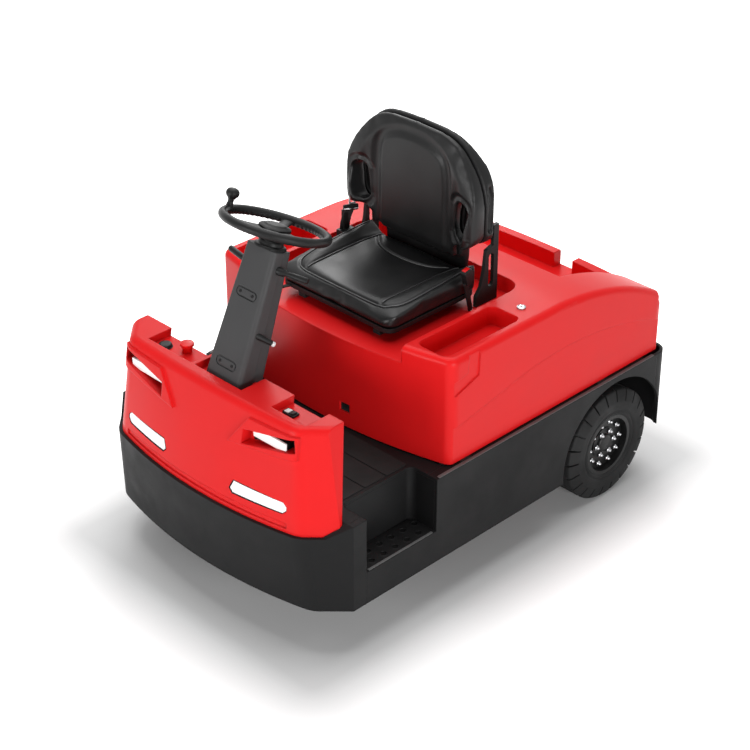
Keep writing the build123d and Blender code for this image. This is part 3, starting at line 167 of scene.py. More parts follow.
RED = surface("red paint", (0.72, 0.011, 0.012), 0.36, grain=260.0, bump=0.04, vary=0.04, soft_edge=0.006,
              Specular_IOR_Level=0.12, Coat_Weight=0.04, Coat_Roughness=0.15)
BLACK = surface("black powder coat", (0.0085, 0.0085, 0.0088), 0.5, grain=900.0, bump=0.25, depth=0.0003,
                soft_edge=0.004, Specular_IOR_Level=0.12)
FRAME = surface("frame paint", (0.010, 0.010, 0.010), 0.55, grain=500.0, bump=0.2, soft_edge=0.002,
                Specular_IOR_Level=0.2)
CAST = surface("cast iron", (0.05, 0.05, 0.05), 0.65, grain=350.0, bump=0.5, depth=0.0008, vary=0.25)
MOTOR = surface("motor paint", (0.06, 0.06, 0.065), 0.5, grain=400.0, bump=0.25)
CASE = surface("battery case", (0.03, 0.03, 0.033), 0.55, grain=700.0, bump=0.3)
STEEL = surface("turned steel", (0.55, 0.55, 0.56), 0.3, grain=900.0, bump=0.08, Metallic=1.0)
COLUMN = surface("column moulding", (0.044, 0.044, 0.045), 0.55, grain=1400.0, bump=0.35, depth=0.0003,
                 soft_edge=0.003, Specular_IOR_Level=0.25)
GRIP = surface("soft grip", (0.0065, 0.0065, 0.0065), 0.4, grain=1200.0, bump=0.3, Specular_IOR_Level=0.2)
PLASTIC = surface("moulded plastic", (0.0075, 0.0075, 0.0077), 0.42, grain=1100.0, bump=0.25, soft_edge=0.003,
                  Specular_IOR_Level=0.2)
RUBBER = surface("rubber", (0.012, 0.012, 0.012), 0.75, grain=700.0, bump=0.4, Specular_IOR_Level=0.2)
TYRE = surface("tyre rubber", (0.014, 0.014, 0.0142), 0.7, grain=420.0, bump=0.35, depth=0.0006, vary=0.2,
               Specular_IOR_Level=0.2)
RIM = surface("rim paint", (0.008, 0.008, 0.008), 0.38, grain=500.0, bump=0.15, Specular_IOR_Level=0.25)
VINYL = surface("grained vinyl", (0.006, 0.006, 0.0062), 0.35, grain=780.0, bump=0.16, cells=True,
                Specular_IOR_Level=0.26)
PIPING = surface("piping", (0.02, 0.02, 0.021), 0.3, grain=900.0, bump=0.2, Specular_IOR_Level=0.6)
LENS = surface("white lens", (0.93, 0.93, 0.93), 0.2, grain=200.0, bump=0.05, vary=0.01, Coat_Weight=0.5,
               Emission_Color=(1, 1, 1, 1), Emission_Strength=0.12)
TAIL = surface("red lens", (0.42, 0.005, 0.007), 0.25, grain=200.0, bump=0.1, Specular_IOR_Level=0.2)
CHROME = surface("chrome", (0.85, 0.85, 0.87), 0.08, grain=300.0, bump=0.02, vary=0.03, Metallic=1.0)
ZINC = surface("zinc plate", (0.36, 0.36, 0.37), 0.22, grain=500.0, bump=0.06, vary=0.1, Metallic=1.0)
BUTTON = surface("red button", (0.72, 0.008, 0.008), 0.3, grain=900.0, bump=0.1, Specular_IOR_Level=0.3)
WHITE = surface("white plastic", (0.72, 0.72, 0.71), 0.4, grain=900.0, bump=0.1, vary=0.04)
# Black of the lamp linings, gaskets and housings, also used for painted shade in the step's holes and the
# lock's key slot
DARK = surface("dark lining and painted shade", (0.004, 0.004, 0.004), 0.7, grain=900.0, bump=0.2, Specular_IOR_Level=0.1)
# Pale grey of the strips along the sill's and the step's edges: a painted highlight
SILL_HIGHLIGHT = surface("painted sill highlight", (0.11, 0.11, 0.11), 0.5, grain=900.0, bump=0.2, Specular_IOR_Level=0.3)
WEBBING = surface("belt webbing", (0.012, 0.012, 0.012), 0.8, grain=1500.0, bump=0.6, depth=0.0006)

SLOT_MATERIALS = {
    "red_paint": RED,
    "chassis_black": BLACK,
    "frame_black": FRAME,
    "cast_grey": CAST,
    "motor_grey": MOTOR,
    "battery_case": CASE,
    "axle_steel": STEEL,
    "column_plastic": COLUMN,
    "wheel_rubber": GRIP,
    "control_plastic": PLASTIC,
    "buffer_rubber": RUBBER,
    "tyre_rubber": TYRE,
    "rim_black": RIM,
    "seat_vinyl": VINYL,
    "lamp_clear": LENS,
    "lamp_red": TAIL,
    "lock_chrome": CHROME,
}
for part in frame["record"]["subparts"]:
    solid = nodes[part["node"]]
    solid.data.materials.clear()
    solid.data.materials.append(SLOT_MATERIALS[part["material_slot"]])


# Shapes

def weld(obj, distance=1e-5):
    bm = bmesh.new()
    bm.from_mesh(obj.data)
    bmesh.ops.remove_doubles(bm, verts=bm.verts, dist=distance)
    bmesh.ops.recalc_face_normals(bm, faces=bm.faces)
    bm.to_mesh(obj.data)
    bm.free()
    obj.data.shade_smooth()


def crisp(obj, degrees):
    """Welds a new mesh and keeps its edges above an angle sharp."""
    weld(obj)
    obj.data.set_sharp_from_angle(angle=radians(degrees))
    return obj


def facing(origin, z_axis, x_axis=UP):
    """A frame at a point whose Z axis points along z_axis."""
    z = Vector(z_axis).normalized()
    x = Vector(x_axis)
    x = (x - z * x.dot(z)).normalized()
    return Matrix.Translation(origin) @ Matrix((x, z.cross(x), z)).transposed().to_4x4()


def level(x, y, z):
    """A frame at a point with the tractor's own axes."""
    return Matrix.Translation(at(x, y, z))


def shifted(place, x, y, z):
    """A frame moved by millimetres along its own axes."""
    return place @ Matrix.Translation(Vector((x, y, z)) / 1000)


def ring_faces(rings, count, closed):
    """Quads between rings of points that follow each other."""
    faces = []
    for ring in range(rings if closed else rings - 1):
        near, far = ring * count, (ring + 1) % rings * count
        faces += [(near + k, near + (k + 1) % count, far + (k + 1) % count, far + k) for k in range(count)]
    return faces


def bar_faces(rings, count):
    """Quads between rings of points, and a face at both ends."""
    ends = [tuple(range(count)), tuple(range((rings - 1) * count, rings * count))]
    return ring_faces(rings, count, closed=False) + ends


def turned(name, profile, place, segments=32):
    """A lathe form about a frame's Z axis, from (radius, height) pairs in millimetres."""
    verts, faces = [], []
    count = len(profile)
    for step in range(segments):
        angle = 2 * pi * step / segments
        verts += [place @ (Vector((r * cos(angle), r * sin(angle), h)) / 1000) for r, h in profile]
    for step in range(segments):
        near, far = step * count, (step + 1) % segments * count
        faces += [(near + k, far + k, far + k + 1, near + k + 1) for k in range(count - 1)]
    return crisp(mesh_object(name, verts, faces), 50)


def plate(name, outline, place, thickness, bevel=0.0, holes=()):
    """A plate with softened edges, its outline in millimetres in a frame's X and Y."""
    bm = bmesh.new()
    edges, upper, walls = [], {}, []
    for loop in (outline, *holes):
        low = [bm.verts.new((x / 1000, y / 1000, 0)) for x, y in loop]
        edges += [bm.edges.new((low[k - 1], low[k])) for k in range(len(low))]
        upper.update({vert: bm.verts.new((*vert.co.xy, thickness / 1000)) for vert in low})
        walls += [(low[k - 1], low[k], upper[low[k]], upper[low[k - 1]]) for k in range(len(low))]
    flat = bmesh.ops.triangle_fill(bm, edges=edges, use_beauty=True)["geom"]
    for face in [item for item in flat if isinstance(item, bmesh.types.BMFace)]:
        walls.append([upper[vert] for vert in face.verts])
    for wall in walls:
        bm.faces.new(wall)
    bmesh.ops.recalc_face_normals(bm, faces=bm.faces)
    if bevel:
        rims = [e for e in bm.edges if e.is_manifold and e.calc_face_angle(0) > radians(50)]
        bmesh.ops.bevel(bm, geom=rims, offset=bevel / 1000, segments=2, profile=0.7, affect="EDGES")
    bm.transform(place)
    mesh = bpy.data.meshes.new(name)
    bm.to_mesh(mesh)
    bm.free()
    mesh.shade_smooth()
    mesh.set_sharp_from_angle(angle=radians(40))
    return scene_object(name, mesh)


def rounded(length, width, radius, steps=4):
    """Outline of a rectangle with rounded corners, in millimetres."""
    points = []
    for quarter, (sx, sy) in enumerate(((1, 1), (-1, 1), (-1, -1), (1, -1))):
        for step in range(steps + 1):
            angle = pi / 2 * (quarter + step / steps)
            points.append((sx * (length / 2 - radius) + radius * cos(angle),
                           sy * (width / 2 - radius) + radius * sin(angle)))
    return points


def circle(radius, x=0.0, y=0.0, steps=20):
    """Outline of a circle, in millimetres."""
    angles = [2 * pi * k / steps for k in range(steps)]
    return [(x + radius * cos(angle), y + radius * sin(angle)) for angle in angles]


def tube(name, points, radius, sides=10, closed=False):
    """A round bead along points in metres, its radius in millimetres."""
    verts = []
    count = len(points)
    side = None
    for k, point in enumerate(points):
        if closed:
            ahead = points[(k + 1) % count] - points[k - 1]
        else:
            ahead = points[min(k + 1, count - 1)] - points[max(k - 1, 0)]
        ahead = ahead.normalized()
        side = ahead.orthogonal() if side is None else side - ahead * side.dot(ahead)
        side.normalize()
        other = ahead.cross(side)
        for step in range(sides):
            angle = 2 * pi * step / sides
            verts.append(point + (side * cos(angle) + other * sin(angle)) * radius / 1000)
    faces = ring_faces(count, sides, closed=True) if closed else bar_faces(count, sides)
    obj = mesh_object(name, verts, faces)
    weld(obj, 1e-7)
    return obj


def joined(name, objs):
    """Several new meshes as one piece."""
    bm = bmesh.new()
    for obj in objs:
        bm.from_mesh(obj.data)
        bpy.data.objects.remove(obj)
    mesh = bpy.data.meshes.new(name)
    bm.to_mesh(mesh)
    bm.free()
    return scene_object(name, mesh)


def spline(before, start, end, after, t):
    """A point at a share t of the smooth line from start to end."""
    square = 2 * before - 5 * start + 4 * end - after
    cube = 3 * start - before - 3 * end + after
    return 0.5 * (2 * start + (end - before) * t + square * t ** 2 + cube * t ** 3)


def path(points, step=4.0):
    """Points along a smooth line through a few given ones, about one step apart."""
    points = [Vector(p) for p in points]
    ends = [2 * points[0] - points[1], *points, 2 * points[-1] - points[-2]]
    line = []
    for before, start, end, after in zip(ends, ends[1:], ends[2:], ends[3:]):
        count = max(2, int((end - start).length / step))
        line += [spline(before, start, end, after, k / count) for k in range(count)]
    return line + [points[-1]]


# Tyres and wheels

TYRE_R = 190.0
TRACK_HALF = 442.0
WHEELBASE = 1060.0
LUGS = 22
# Half of a tyre's section from the bead to the middle: radius, offset from the middle plane, and how far a
# shoulder groove sinks the point along the radius and across the tread
TYRE_SECTION = (
    (104.0, 50.0, 0.0, 0.0), (108.0, 53.0, 0.0, 0.0), (113.0, 54.5, 0.0, 0.0), (116.0, 52.5, 0.0, 0.0),
    (120.0, 52.5, 0.0, 0.0), (123.0, 55.0, 0.0, 0.0), (132.0, 56.5, 0.0, 0.0), (146.0, 57.0, 0.0, 0.0),
    (152.0, 57.0, 0.0, 0.0), (157.0, 56.0, 2.0, 5.0), (166.0, 53.5, 4.0, 8.0), (176.0, 50.5, 5.0, 10.0),
    (184.0, 47.5, 6.0, 11.0), (188.5, 45.5, 8.0, 10.0), (190.0, 43.0, 9.0, 8.0), (190.0, 34.0, 8.0, 0.0),
    (190.0, 32.0, 0.0, 0.0), (190.0, 12.0, 0.0, 0.0), (185.0, 10.5, 0.0, 0.0), (185.0, 6.0, 0.0, 0.0),
    (190.0, 4.5, 0.0, 0.0),
)
# Samples round one lug: share of the pitch, share of the groove's depth
LUG_STEPS = ((0.0, 0.0), (0.16, 0.0), (0.32, 0.0), (0.44, 0.0), (0.455, 1.0), (0.545, 1.0), (0.56, 0.0),
             (0.68, 0.0), (0.84, 0.0))
STAGGER = 0.5       # share of the pitch between the grooves of the two shoulders


def groove_depth(share):
    """Depth of the shoulder groove at a share of the pitch."""
    share %= 1.0
    table = LUG_STEPS + ((1.0, 0.0),)
    for (s0, d0), (s1, d1) in zip(table, table[1:]):
        if s0 <= share <= s1:
            return d0 + (d1 - d0) * (share - s0) / (s1 - s0)
    return 0.0


def tyre(name, centre):
    """A solid tyre about Y with staggered grooves over both shoulders."""
    shares = sorted({round((s + shift) % 1.0, 4) for s, _ in LUG_STEPS for shift in (0.0, STAGGER)})
    section = [(row, -1, 0.0) for row in TYRE_SECTION]
    section += [(row, 1, STAGGER) for row in reversed(TYRE_SECTION)]
    verts = []
    for lug in range(LUGS):
        for share in shares:
            angle = 2 * pi * (lug + share) / LUGS
            for (r, y, sink, inward), sign, shift in section:
                cut = groove_depth(share + shift)
                radius = r - sink * cut
                out = sign * (y - inward * cut)
                verts.append(centre + Vector((radius * cos(angle), out, radius * sin(angle))) / 1000)
    faces = ring_faces(LUGS * len(shares), len(section), closed=True)
    return crisp(mesh_object(name, verts, faces), 38)


# Lathe profiles: radius and height above the wheel's middle plane, or above the disc for a nut
NUT = ((0.0, 17.0), (3.5, 16.0), (6.5, 12.5), (7.5, 8.0), (9.5, 7.0), (9.5, 0.0), (0.0, 0.0))
RIM_LIP = ((92.0, 26.0), (95.0, 36.0), (97.0, 44.0), (101.0, 49.0), (104.0, 49.5), (105.0, 47.0),
           (103.0, 40.0), (98.0, 26.0), (92.0, 26.0))
HUB_CAP = ((0.0, 40.0), (18.0, 40.0), (26.0, 38.0), (30.0, 35.0), (30.6, 30.0))
# Wheel nuts: number, radius of their circle and height of the disc under them
NUT_RINGS = ((10, 73.0, 26.0), (6, 41.5, 30.0))
HEXAGON = 6


def wheel_trim(name, centre, sign, body, cap):
    """Nuts, rim lip and hub cap on a wheel's outer side."""
    side = facing(centre, LEFTWARD * sign)
    nuts = []
    for count, radius, height in NUT_RINGS:
        for nut in range(count):
            angle = 2 * pi * (nut + 0.5) / count
            spot = shifted(side, radius * cos(angle), radius * sin(angle), height)
            nuts.append(turned("nut", NUT, spot, HEXAGON))
    finish_piece(joined(f"wheel_nuts_{name}", nuts), body, ZINC)
    finish_piece(turned(f"rim_lip_{name}", RIM_LIP, side, segments=72), body, RIM)
    if cap:
        finish_piece(turned(f"hub_cap_{name}", HUB_CAP, side, segments=40), body, RIM)


# Wheels: name, centre, outer side, body, tyre's node and whether it has a hub cap
WHEELS = [
    (f"rear_{side}", at(0, sign * TRACK_HALF, TYRE_R), sign, f"rear_{side}_wheel", f"rear_tyre_{side}", True)
    for side, sign in SIDES
]
WHEELS.append(("front", at(WHEELBASE, 0, TYRE_R), 1, "front_wheel", "front_tyre", False))
for name, centre, sign, body, tyre_node, cap in WHEELS:
    finish_piece(tyre(f"tyre_{name}", centre), body, TYRE, [tyre_node])
    wheel_trim(name, centre, sign, body, cap)


# Seat

VOXEL = 0.006               # in metres
EDGE_SMOOTHING = 0.6
PAD_SMOOTHING = 0.5
PAD_ROUNDS = 14
CLOTH_FRAMES = 20
CLOTH_PRESSURE = 2.0
CLOTH_STIFFNESS = 40
CLOTH_BENDING = 30


def copy_of(node_name, name):
    """A free copy of a solid's mesh."""
    obj = scene_object(name, nodes[node_name].data.copy())
    weld(obj, 1e-4)
    return obj


def softened(obj, rounds):
    """Rounds a form's edges by remeshing and smoothing it."""
    add_modifier(obj, "REMESH", mode="VOXEL", voxel_size=VOXEL)
    add_modifier(obj, "SMOOTH", factor=EDGE_SMOOTHING, iterations=rounds)
    apply_modifiers(obj)


def subdivided(obj):
    add_modifier(obj, "SUBSURF", levels=1, render_levels=1)
    apply_modifiers(obj)
    obj.data.shade_smooth()


def upholstered(obj, swell, shrink):
    """Shrinks a form, blows it out by a cloth simulation, each point by swell at most, and smooths it."""
    start = [v.co - v.normal * shrink for v in obj.data.vertices]
    for vertex, rest in zip(obj.data.vertices, start):
        vertex.co = rest
    settings = add_modifier(obj, "CLOTH").settings
    settings.use_pressure = True
    settings.uniform_pressure_force = CLOTH_PRESSURE
    settings.tension_stiffness = CLOTH_STIFFNESS
    settings.compression_stiffness = CLOTH_STIFFNESS
    settings.bending_stiffness = CLOTH_BENDING
    settings.effector_weights.gravity = 0
    for step in range(1, CLOTH_FRAMES + 1):
        scene.frame_set(step)
    apply_modifiers(obj)
    scene.frame_set(1)
    for vertex, rest in zip(obj.data.vertices, start):
        move = vertex.co - rest
        if move.length > swell:
            vertex.co = rest + move.normalized() * swell
    add_modifier(obj, "SMOOTH", factor=PAD_SMOOTHING, iterations=PAD_ROUNDS)
    subdivided(obj)


def cast_points(obj, starts, direction):
    """Points where rays from the starts first meet a piece."""
    mesh = obj.data
    tree = BVHTree.FromPolygons([v.co for v in mesh.vertices], [p.vertices for p in mesh.polygons])
    hits = [tree.ray_cast(start, direction)[0] for start in starts]
    return [hit for hit in hits if hit is not None]


def press(obj, points, width, depth):
    """Sinks a soft groove along points into an upholstered piece."""
    tree = KDTree(len(points))
    for k, point in enumerate(points):
        tree.insert(point, k)
    tree.balance()
    normals = [v.normal.copy() for v in obj.data.vertices]
    for vertex, normal in zip(obj.data.vertices, normals):
        near = tree.find(vertex.co)[2] * 1000 / width
        if near < 1:
            vertex.co -= normal * depth / 1000 * (1 - near ** 2) ** 2


def mirror_path(points, across):
    """A path given for the left side, carried on over the right one; across is the number of its y column."""
    flip = (-1, 1) if across == 0 else (1, -1)
    right = [(a * flip[0], b * flip[1]) for a, b in reversed(points) if (a, b)[across]]
    return [*points, *right]


# Seams on the cushion, seen from above: x and y
SEAM_SIDE = ((352.0, 160.0), (520.0, 161.0), (690.0, 158.0))
SEAM_REAR = mirror_path(((398.0, 150.0), (440.0, 95.0), (456.0, 0.0)), across=1)
SEAM_LIP = mirror_path(((372.0, 216.0), (520.0, 218.0), (640.0, 214.0), (688.0, 192.0), (704.0, 150.0),
                        (711.0, 0.0)), across=1)
SEAM_GROOVE = (11.0, 3.5)           # width and depth
PIPING_R = 2.3
PIPING_SINK = 0.002                 # piping's middle below the cushion's top, in metres
# Creases on the back, seen from the front: y and z
CREASE_PANEL = mirror_path(((150.0, 884.0), (148.0, 1000.0), (146.0, 1130.0), (128.0, 1196.0), (70.0, 1228.0),
                            (0.0, 1236.0)), across=0)
PANEL_GROOVE = (24.0, 7.0)
EAR_HOLE = (208.0, 1026.0, 160.0, 84.0)     # y, z, length and width of the sunk surround
EAR_GROOVE = (15.0, 5.0)
CAST_HEIGHT = 1300.0                # where rays start above the cushion
CAST_AHEAD = 900.0                  # and in front of the back

cushion = copy_of("seat_cushion", "seat_pad")
softened(cushion, rounds=10)
upholstered(cushion, swell=0.011, shrink=0.005)
seam_lines = []
for seam in (SEAM_REAR, SEAM_LIP, *[[(x, sign * y) for x, y in SEAM_SIDE] for _, sign in SIDES]):
    starts = [at(x, y, CAST_HEIGHT) for x, y in path(seam)]
    seam_lines.append(cast_points(cushion, starts, -UP))
for line in seam_lines:
    press(cushion, line, *SEAM_GROOVE)
sunk_lines = [[point - UP * PIPING_SINK for point in line] for line in seam_lines]
piping = [tube("piping", line, PIPING_R, sides=8) for line in sunk_lines]
finish_piece(cushion, "hood", VINYL, ["seat_cushion"])
finish_piece(joined("seat_piping", piping), "hood", PIPING)

back = copy_of("seat_back", "back_pad")
softened(back, rounds=8)
upholstered(back, swell=0.010, shrink=0.003)
ear_y, ear_z, ear_length, ear_width = EAR_HOLE
creases = [(CREASE_PANEL, PANEL_GROOVE)]
for _, sign in SIDES:
    ear = rounded(ear_length, ear_width, ear_width / 2 - 1, steps=6)
    creases.append(([(sign * ear_y + b, ear_z + a) for a, b in (*ear, ear[0])], EAR_GROOVE))
for crease, groove in creases:
    starts = [at(CAST_AHEAD, y, z) for y, z in path(crease)]
    press(back, cast_points(back, starts, BACKWARD), *groove)
finish_piece(back, "hood", VINYL, ["seat_back"])

shell = copy_of("seat_shell", "back_shell")
softened(shell, rounds=14)
subdivided(shell)
finish_piece(shell, "hood", PLASTIC, ["seat_shell"])

# Rod that frees the seat's slide: x, y and z
ADJUSTER = ((712.0, -178.0, 787.0), (748.0, -196.0, 786.0), (772.0, -208.0, 780.0))
ADJUSTER_R = 5.0
adjuster = tube("seat_adjuster", [at(*point) for point in ADJUSTER], ADJUSTER_R)
finish_piece(adjuster, "hood", PLASTIC)


# Seat belt

BUCKLE_HEAD = ((-14.0, -24.0), (14.0, -24.0), (16.0, 20.0), (10.0, 26.0), (-10.0, 26.0), (-16.0, 20.0))
BUCKLE_TURN = Matrix.Rotation(radians(90), 4, "X") @ Matrix.Rotation(radians(-14), 4, "Z")
BUCKLE_AT = (436.0, 270.0, 872.0)
STALK_AT = (430.0, 261.0, 802.0)
BUTTON_ON_HEAD = (0.0, 24.5, 4.0)
buckle_place = level(*BUCKLE_AT) @ BUCKLE_TURN
stalk_place = level(*STALK_AT) @ BUCKLE_TURN
buckle = [plate("head", BUCKLE_HEAD, buckle_place, thickness=22.0, bevel=3.0),
          plate("stalk", rounded(18.0, 104.0, 4.0), stalk_place, thickness=4.0, bevel=1.0)]
finish_piece(joined("buckle", buckle), "hood", PLASTIC, ["belt_buckle"])
button_place = shifted(buckle_place, *BUTTON_ON_HEAD)
button = plate("buckle_button", rounded(21.0, 7.0, 2.0), button_place, thickness=14.0, bevel=1.5)
finish_piece(button, "hood", BUTTON)

# Flat webbing that stands out of the reel: x and z of its middle, and how far it leans to the seat
STRAP = ((425.0, 838.0, -3.0), (425.0, 862.0, 0.0), (420.0, 884.0, 3.0), (412.0, 904.0, 7.0))
STRAP_Y = -270.0
STRAP_HALF = 21.0           # half of its width
STRAP_HALF_T = 0.7          # half of its thickness
STRAP_TILT = 4.0            # front edge above its middle
strap_points = [at(x + across * STRAP_HALF, STRAP_Y + lean + out * STRAP_HALF_T, z + across * STRAP_TILT)
                for x, z, lean in STRAP for across, out in CORNERS]
strap = crisp(mesh_object("belt_strap", strap_points, bar_faces(len(STRAP), len(CORNERS))), 40)
finish_piece(strap, "hood", WEBBING)

TONGUE_AT = (411.0, -261.0, 912.0)
TONGUE_OUT = (0.25, 1.0, 0.1)       # way that its face looks
TONGUE_ALONG = (1.0, 0.0, 0.15)
CLASP_ON_TONGUE = (-4.0, -24.0, 1.5)
BAR_ON_TONGUE = ((-26.0, 4.0, 6.0), (0.0, 4.0, 6.0), (26.0, 4.0, 6.0))
BAR_R = 2.2
tongue_place = facing(at(*TONGUE_AT), TONGUE_OUT, TONGUE_ALONG)
tongue = plate("belt_tongue", rounded(54.0, 20.0, 5.0), tongue_place, thickness=5.0, bevel=1.5)
finish_piece(tongue, "hood", PLASTIC)
clasp_place = shifted(tongue_place, *CLASP_ON_TONGUE)
clasp_slot = rounded(14.0, 16.0, 2.0)
clasp = [plate("clasp", rounded(24.0, 34.0, 3.0), clasp_place, thickness=2.2, bevel=0.5, holes=[clasp_slot]),
         tube("bar", [tongue_place @ (Vector(point) / 1000) for point in BAR_ON_TONGUE], BAR_R)]
finish_piece(joined("belt_clasp", clasp), "hood", STEEL)


# Steering wheel, knob, levers and column

COLUMN_TILT = radians(22)
WHEEL_CENTRE = at(956, 0, 1130)
STEER_AXIS = Vector((-sin(COLUMN_TILT), 0, cos(COLUMN_TILT)))
STEER_AHEAD = Vector((cos(COLUMN_TILT), 0, sin(COLUMN_TILT)))
STEER = facing(WHEEL_CENTRE, STEER_AXIS, AHEAD)
WHEEL_R = 152.0
GRIP_R = 13.4
GRIP_SIDES = 18
GRIP_BUMPS = 60
BUMP_SAMPLES = 4
BUMP_H = 2.2
BUMP_ANGLE = radians(230)   # where round the grip the finger bumps are highest
SPOKES = 3
SPOKE_START = 26.0          # radius inside the hub
SPOKE_STEPS = 12
SPOKE_SIDES = 16
SPOKE_HALF = 15.0           # half width
SPOKE_ROOT = 22.0           # added to it at the hub
SPOKE_FLARE = 6.0           # added to it at the rim
SPOKE_DROP = 12.0           # below the rim's plane at the hub
SPOKE_RISE = 9.0            # from there to the rim
SPOKE_HALF_T = 5.5
HUB = ((0.0, 7.0), (28.0, 7.0), (32.0, 5.5), (34.0, 2.5), (44.0, 1.0), (48.0, -3.0), (47.0, -10.0),
       (40.0, -20.0), (32.0, -27.0), (30.0, -36.0), (12.0, -36.5), (12.0, -118.0), (0.0, -118.0))
KNOB_ANGLE = radians(-70)
KNOB = ((0.0, 63.0), (8.0, 62.5), (15.0, 59.5), (19.5, 53.0), (20.0, 46.0), (17.5, 39.5), (12.0, 34.0),
        (9.0, 28.0), (8.5, 22.0), (10.0, 15.0), (12.0, 10.0), (12.5, 3.0))


def grip_rim():
    """Round rim with finger bumps on its inner underside."""
    verts = []
    around = GRIP_BUMPS * BUMP_SAMPLES
    for step in range(around):
        turn = 2 * pi * step / around
        wave = 0.5 + 0.5 * cos(GRIP_BUMPS * turn)
        for k in range(GRIP_SIDES):
            angle = 2 * pi * k / GRIP_SIDES
            inner = max(0.0, cos(angle - BUMP_ANGLE))
            r = GRIP_R + BUMP_H * wave * inner ** 2
            out = WHEEL_R + r * cos(angle)
            verts.append(STEER @ (Vector((out * cos(turn), out * sin(turn), r * sin(angle))) / 1000))
    return mesh_object("grip", verts, ring_faces(around, GRIP_SIDES, closed=True))


def spoke(angle):
    """A spoke that widens into the hub and the rim."""
    place = STEER @ Matrix.Rotation(angle, 4, "Z")
    verts = []
    for step in range(SPOKE_STEPS + 1):
        share = step / SPOKE_STEPS
        out = SPOKE_START + (WHEEL_R - SPOKE_START) * share
        half = SPOKE_HALF + SPOKE_ROOT * (1 - share) ** 3 + SPOKE_FLARE * share ** 4
        middle = SPOKE_RISE * share ** 2 - SPOKE_DROP
        for k in range(SPOKE_SIDES):
            turn = 2 * pi * k / SPOKE_SIDES
            verts.append(place @ (Vector((out, half * cos(turn), middle + SPOKE_HALF_T * sin(turn))) / 1000))
    obj = mesh_object("spoke", verts, ring_faces(SPOKE_STEPS + 1, SPOKE_SIDES, closed=False))
    weld(obj)
    return obj


wheel_pieces = [grip_rim(), turned("hub", HUB, STEER, segments=48)]
wheel_pieces += [spoke(pi / 2 + 2 * pi * k / SPOKES) for k in range(SPOKES)]
finish_piece(joined("hand_wheel", wheel_pieces), "steering_wheel", GRIP, ["steering_wheel"])
knob_place = shifted(STEER, WHEEL_R * cos(KNOB_ANGLE), WHEEL_R * sin(KNOB_ANGLE), 0)
finish_piece(turned("wheel_knob", KNOB, knob_place), "steering_wheel", GRIP, ["spinner_knob"])

# Levers on the column, from the steering wheel's middle: base, tip, then radius at shares of the length
LEVERS = (
    ((54.0, -40.0, -120.0), (44.0, -150.0, -105.0),
     ((0.0, 9.0), (0.16, 9.0), (0.22, 6.5), (0.38, 6.0), (0.42, 8.5), (0.5, 9.2), (0.9, 9.6), (0.97, 8.0),
      (1.0, 0.0))),
    ((54.0, 40.0, -100.0), (16.0, 150.0, -114.0),
     ((0.0, 12.0), (0.2, 13.0), (0.34, 11.5), (0.4, 7.0), (0.5, 6.5), (0.55, 8.5), (0.95, 9.0), (0.99, 7.5),
      (1.0, 0.0))),
    ((149.0, 50.0, -265.0), (106.0, 100.0, -300.0),
     ((0.0, 11.0), (0.3, 10.0), (0.6, 8.5), (0.9, 8.0), (0.93, 0.0))),
)
TIP = ((4.0, 0.0), (7.5, 2.0), (7.5, 8.0), (5.0, 11.0), (0.0, 12.0))
TIP_BACK = 8.0              # white tip's foot behind the end of the last lever
lever_pieces = []
for base, tip, shape in LEVERS:
    reach = Vector(tip) - Vector(base)
    profile = [(radius, share * reach.length) for share, radius in shape]
    lever_place = facing(WHEEL_CENTRE + Vector(base) / 1000, reach)
    lever_pieces.append(turned("lever", profile, lever_place, segments=20))
finish_piece(joined("lever_grips", lever_pieces), "chassis", GRIP, ["column_levers"])
tip_place = shifted(lever_place, 0, 0, reach.length - TIP_BACK)
finish_piece(turned("lever_tip", TIP, tip_place, segments=20), "chassis", WHITE)

COLLAR = ((48.0, -62.0), (48.0, -57.0), (45.0, -54.0), (38.0, -53.0), (37.0, -46.0), (36.0, -41.0),
          (34.5, -40.0))
finish_piece(turned("column_collar", COLLAR, STEER, segments=40), "chassis", GRIP)

COLUMN_TOP = 62.0           # column's head below the steering wheel's middle
COLUMN_LENGTH = 470.0
COLUMN_DEPTHS = (76.0, 112.0)       # column from front to rear, at its head and foot
PLATE_DROPS = (202.0, 412.0)        # recessed plates below the steering wheel's middle
PLATE_SIZE = (75.0, 21.0, 10.0)     # length, width and corner radius
PLATE_T = 3.4
PLATE_SINK = 3.0
SCREW_REACH = 25.0
SCREW_Z = 3.3
SCREW = ((0.0, 1.2), (2.6, 1.2), (3.2, 2.6), (4.2, 2.6), (4.6, 0.0))
covers, screws = [], []
for drop in PLATE_DROPS:
    share = (drop - COLUMN_TOP) / COLUMN_LENGTH
    face_x = (COLUMN_DEPTHS[0] * (1 - share) + COLUMN_DEPTHS[1] * share) / 2
    spot = WHEEL_CENTRE - STEER_AXIS * drop / 1000 + STEER_AHEAD * (face_x - PLATE_SINK) / 1000
    cover_place = facing(spot, STEER_AHEAD, LEFTWARD)
    covers.append(plate("cover", rounded(*PLATE_SIZE, steps=6), cover_place, PLATE_T, bevel=0.8))
    for sign in (-1, 1):
        screw_place = shifted(cover_place, sign * SCREW_REACH, 0, SCREW_Z)
        screws.append(turned("screw", SCREW, screw_place, segments=16))
finish_piece(joined("column_plates", covers), "chassis", COLUMN)
finish_piece(joined("column_screws", screws), "chassis", PLASTIC)


# Console: deck controls, lamps, linings and gaskets

CONSOLE_HALF = 476.0
CONSOLE_FOOT = 408.0
CONSOLE_H = 327.0
CONSOLE_TOP_X = 1237.4      # console's front at its top
DECK_Z = 711.0
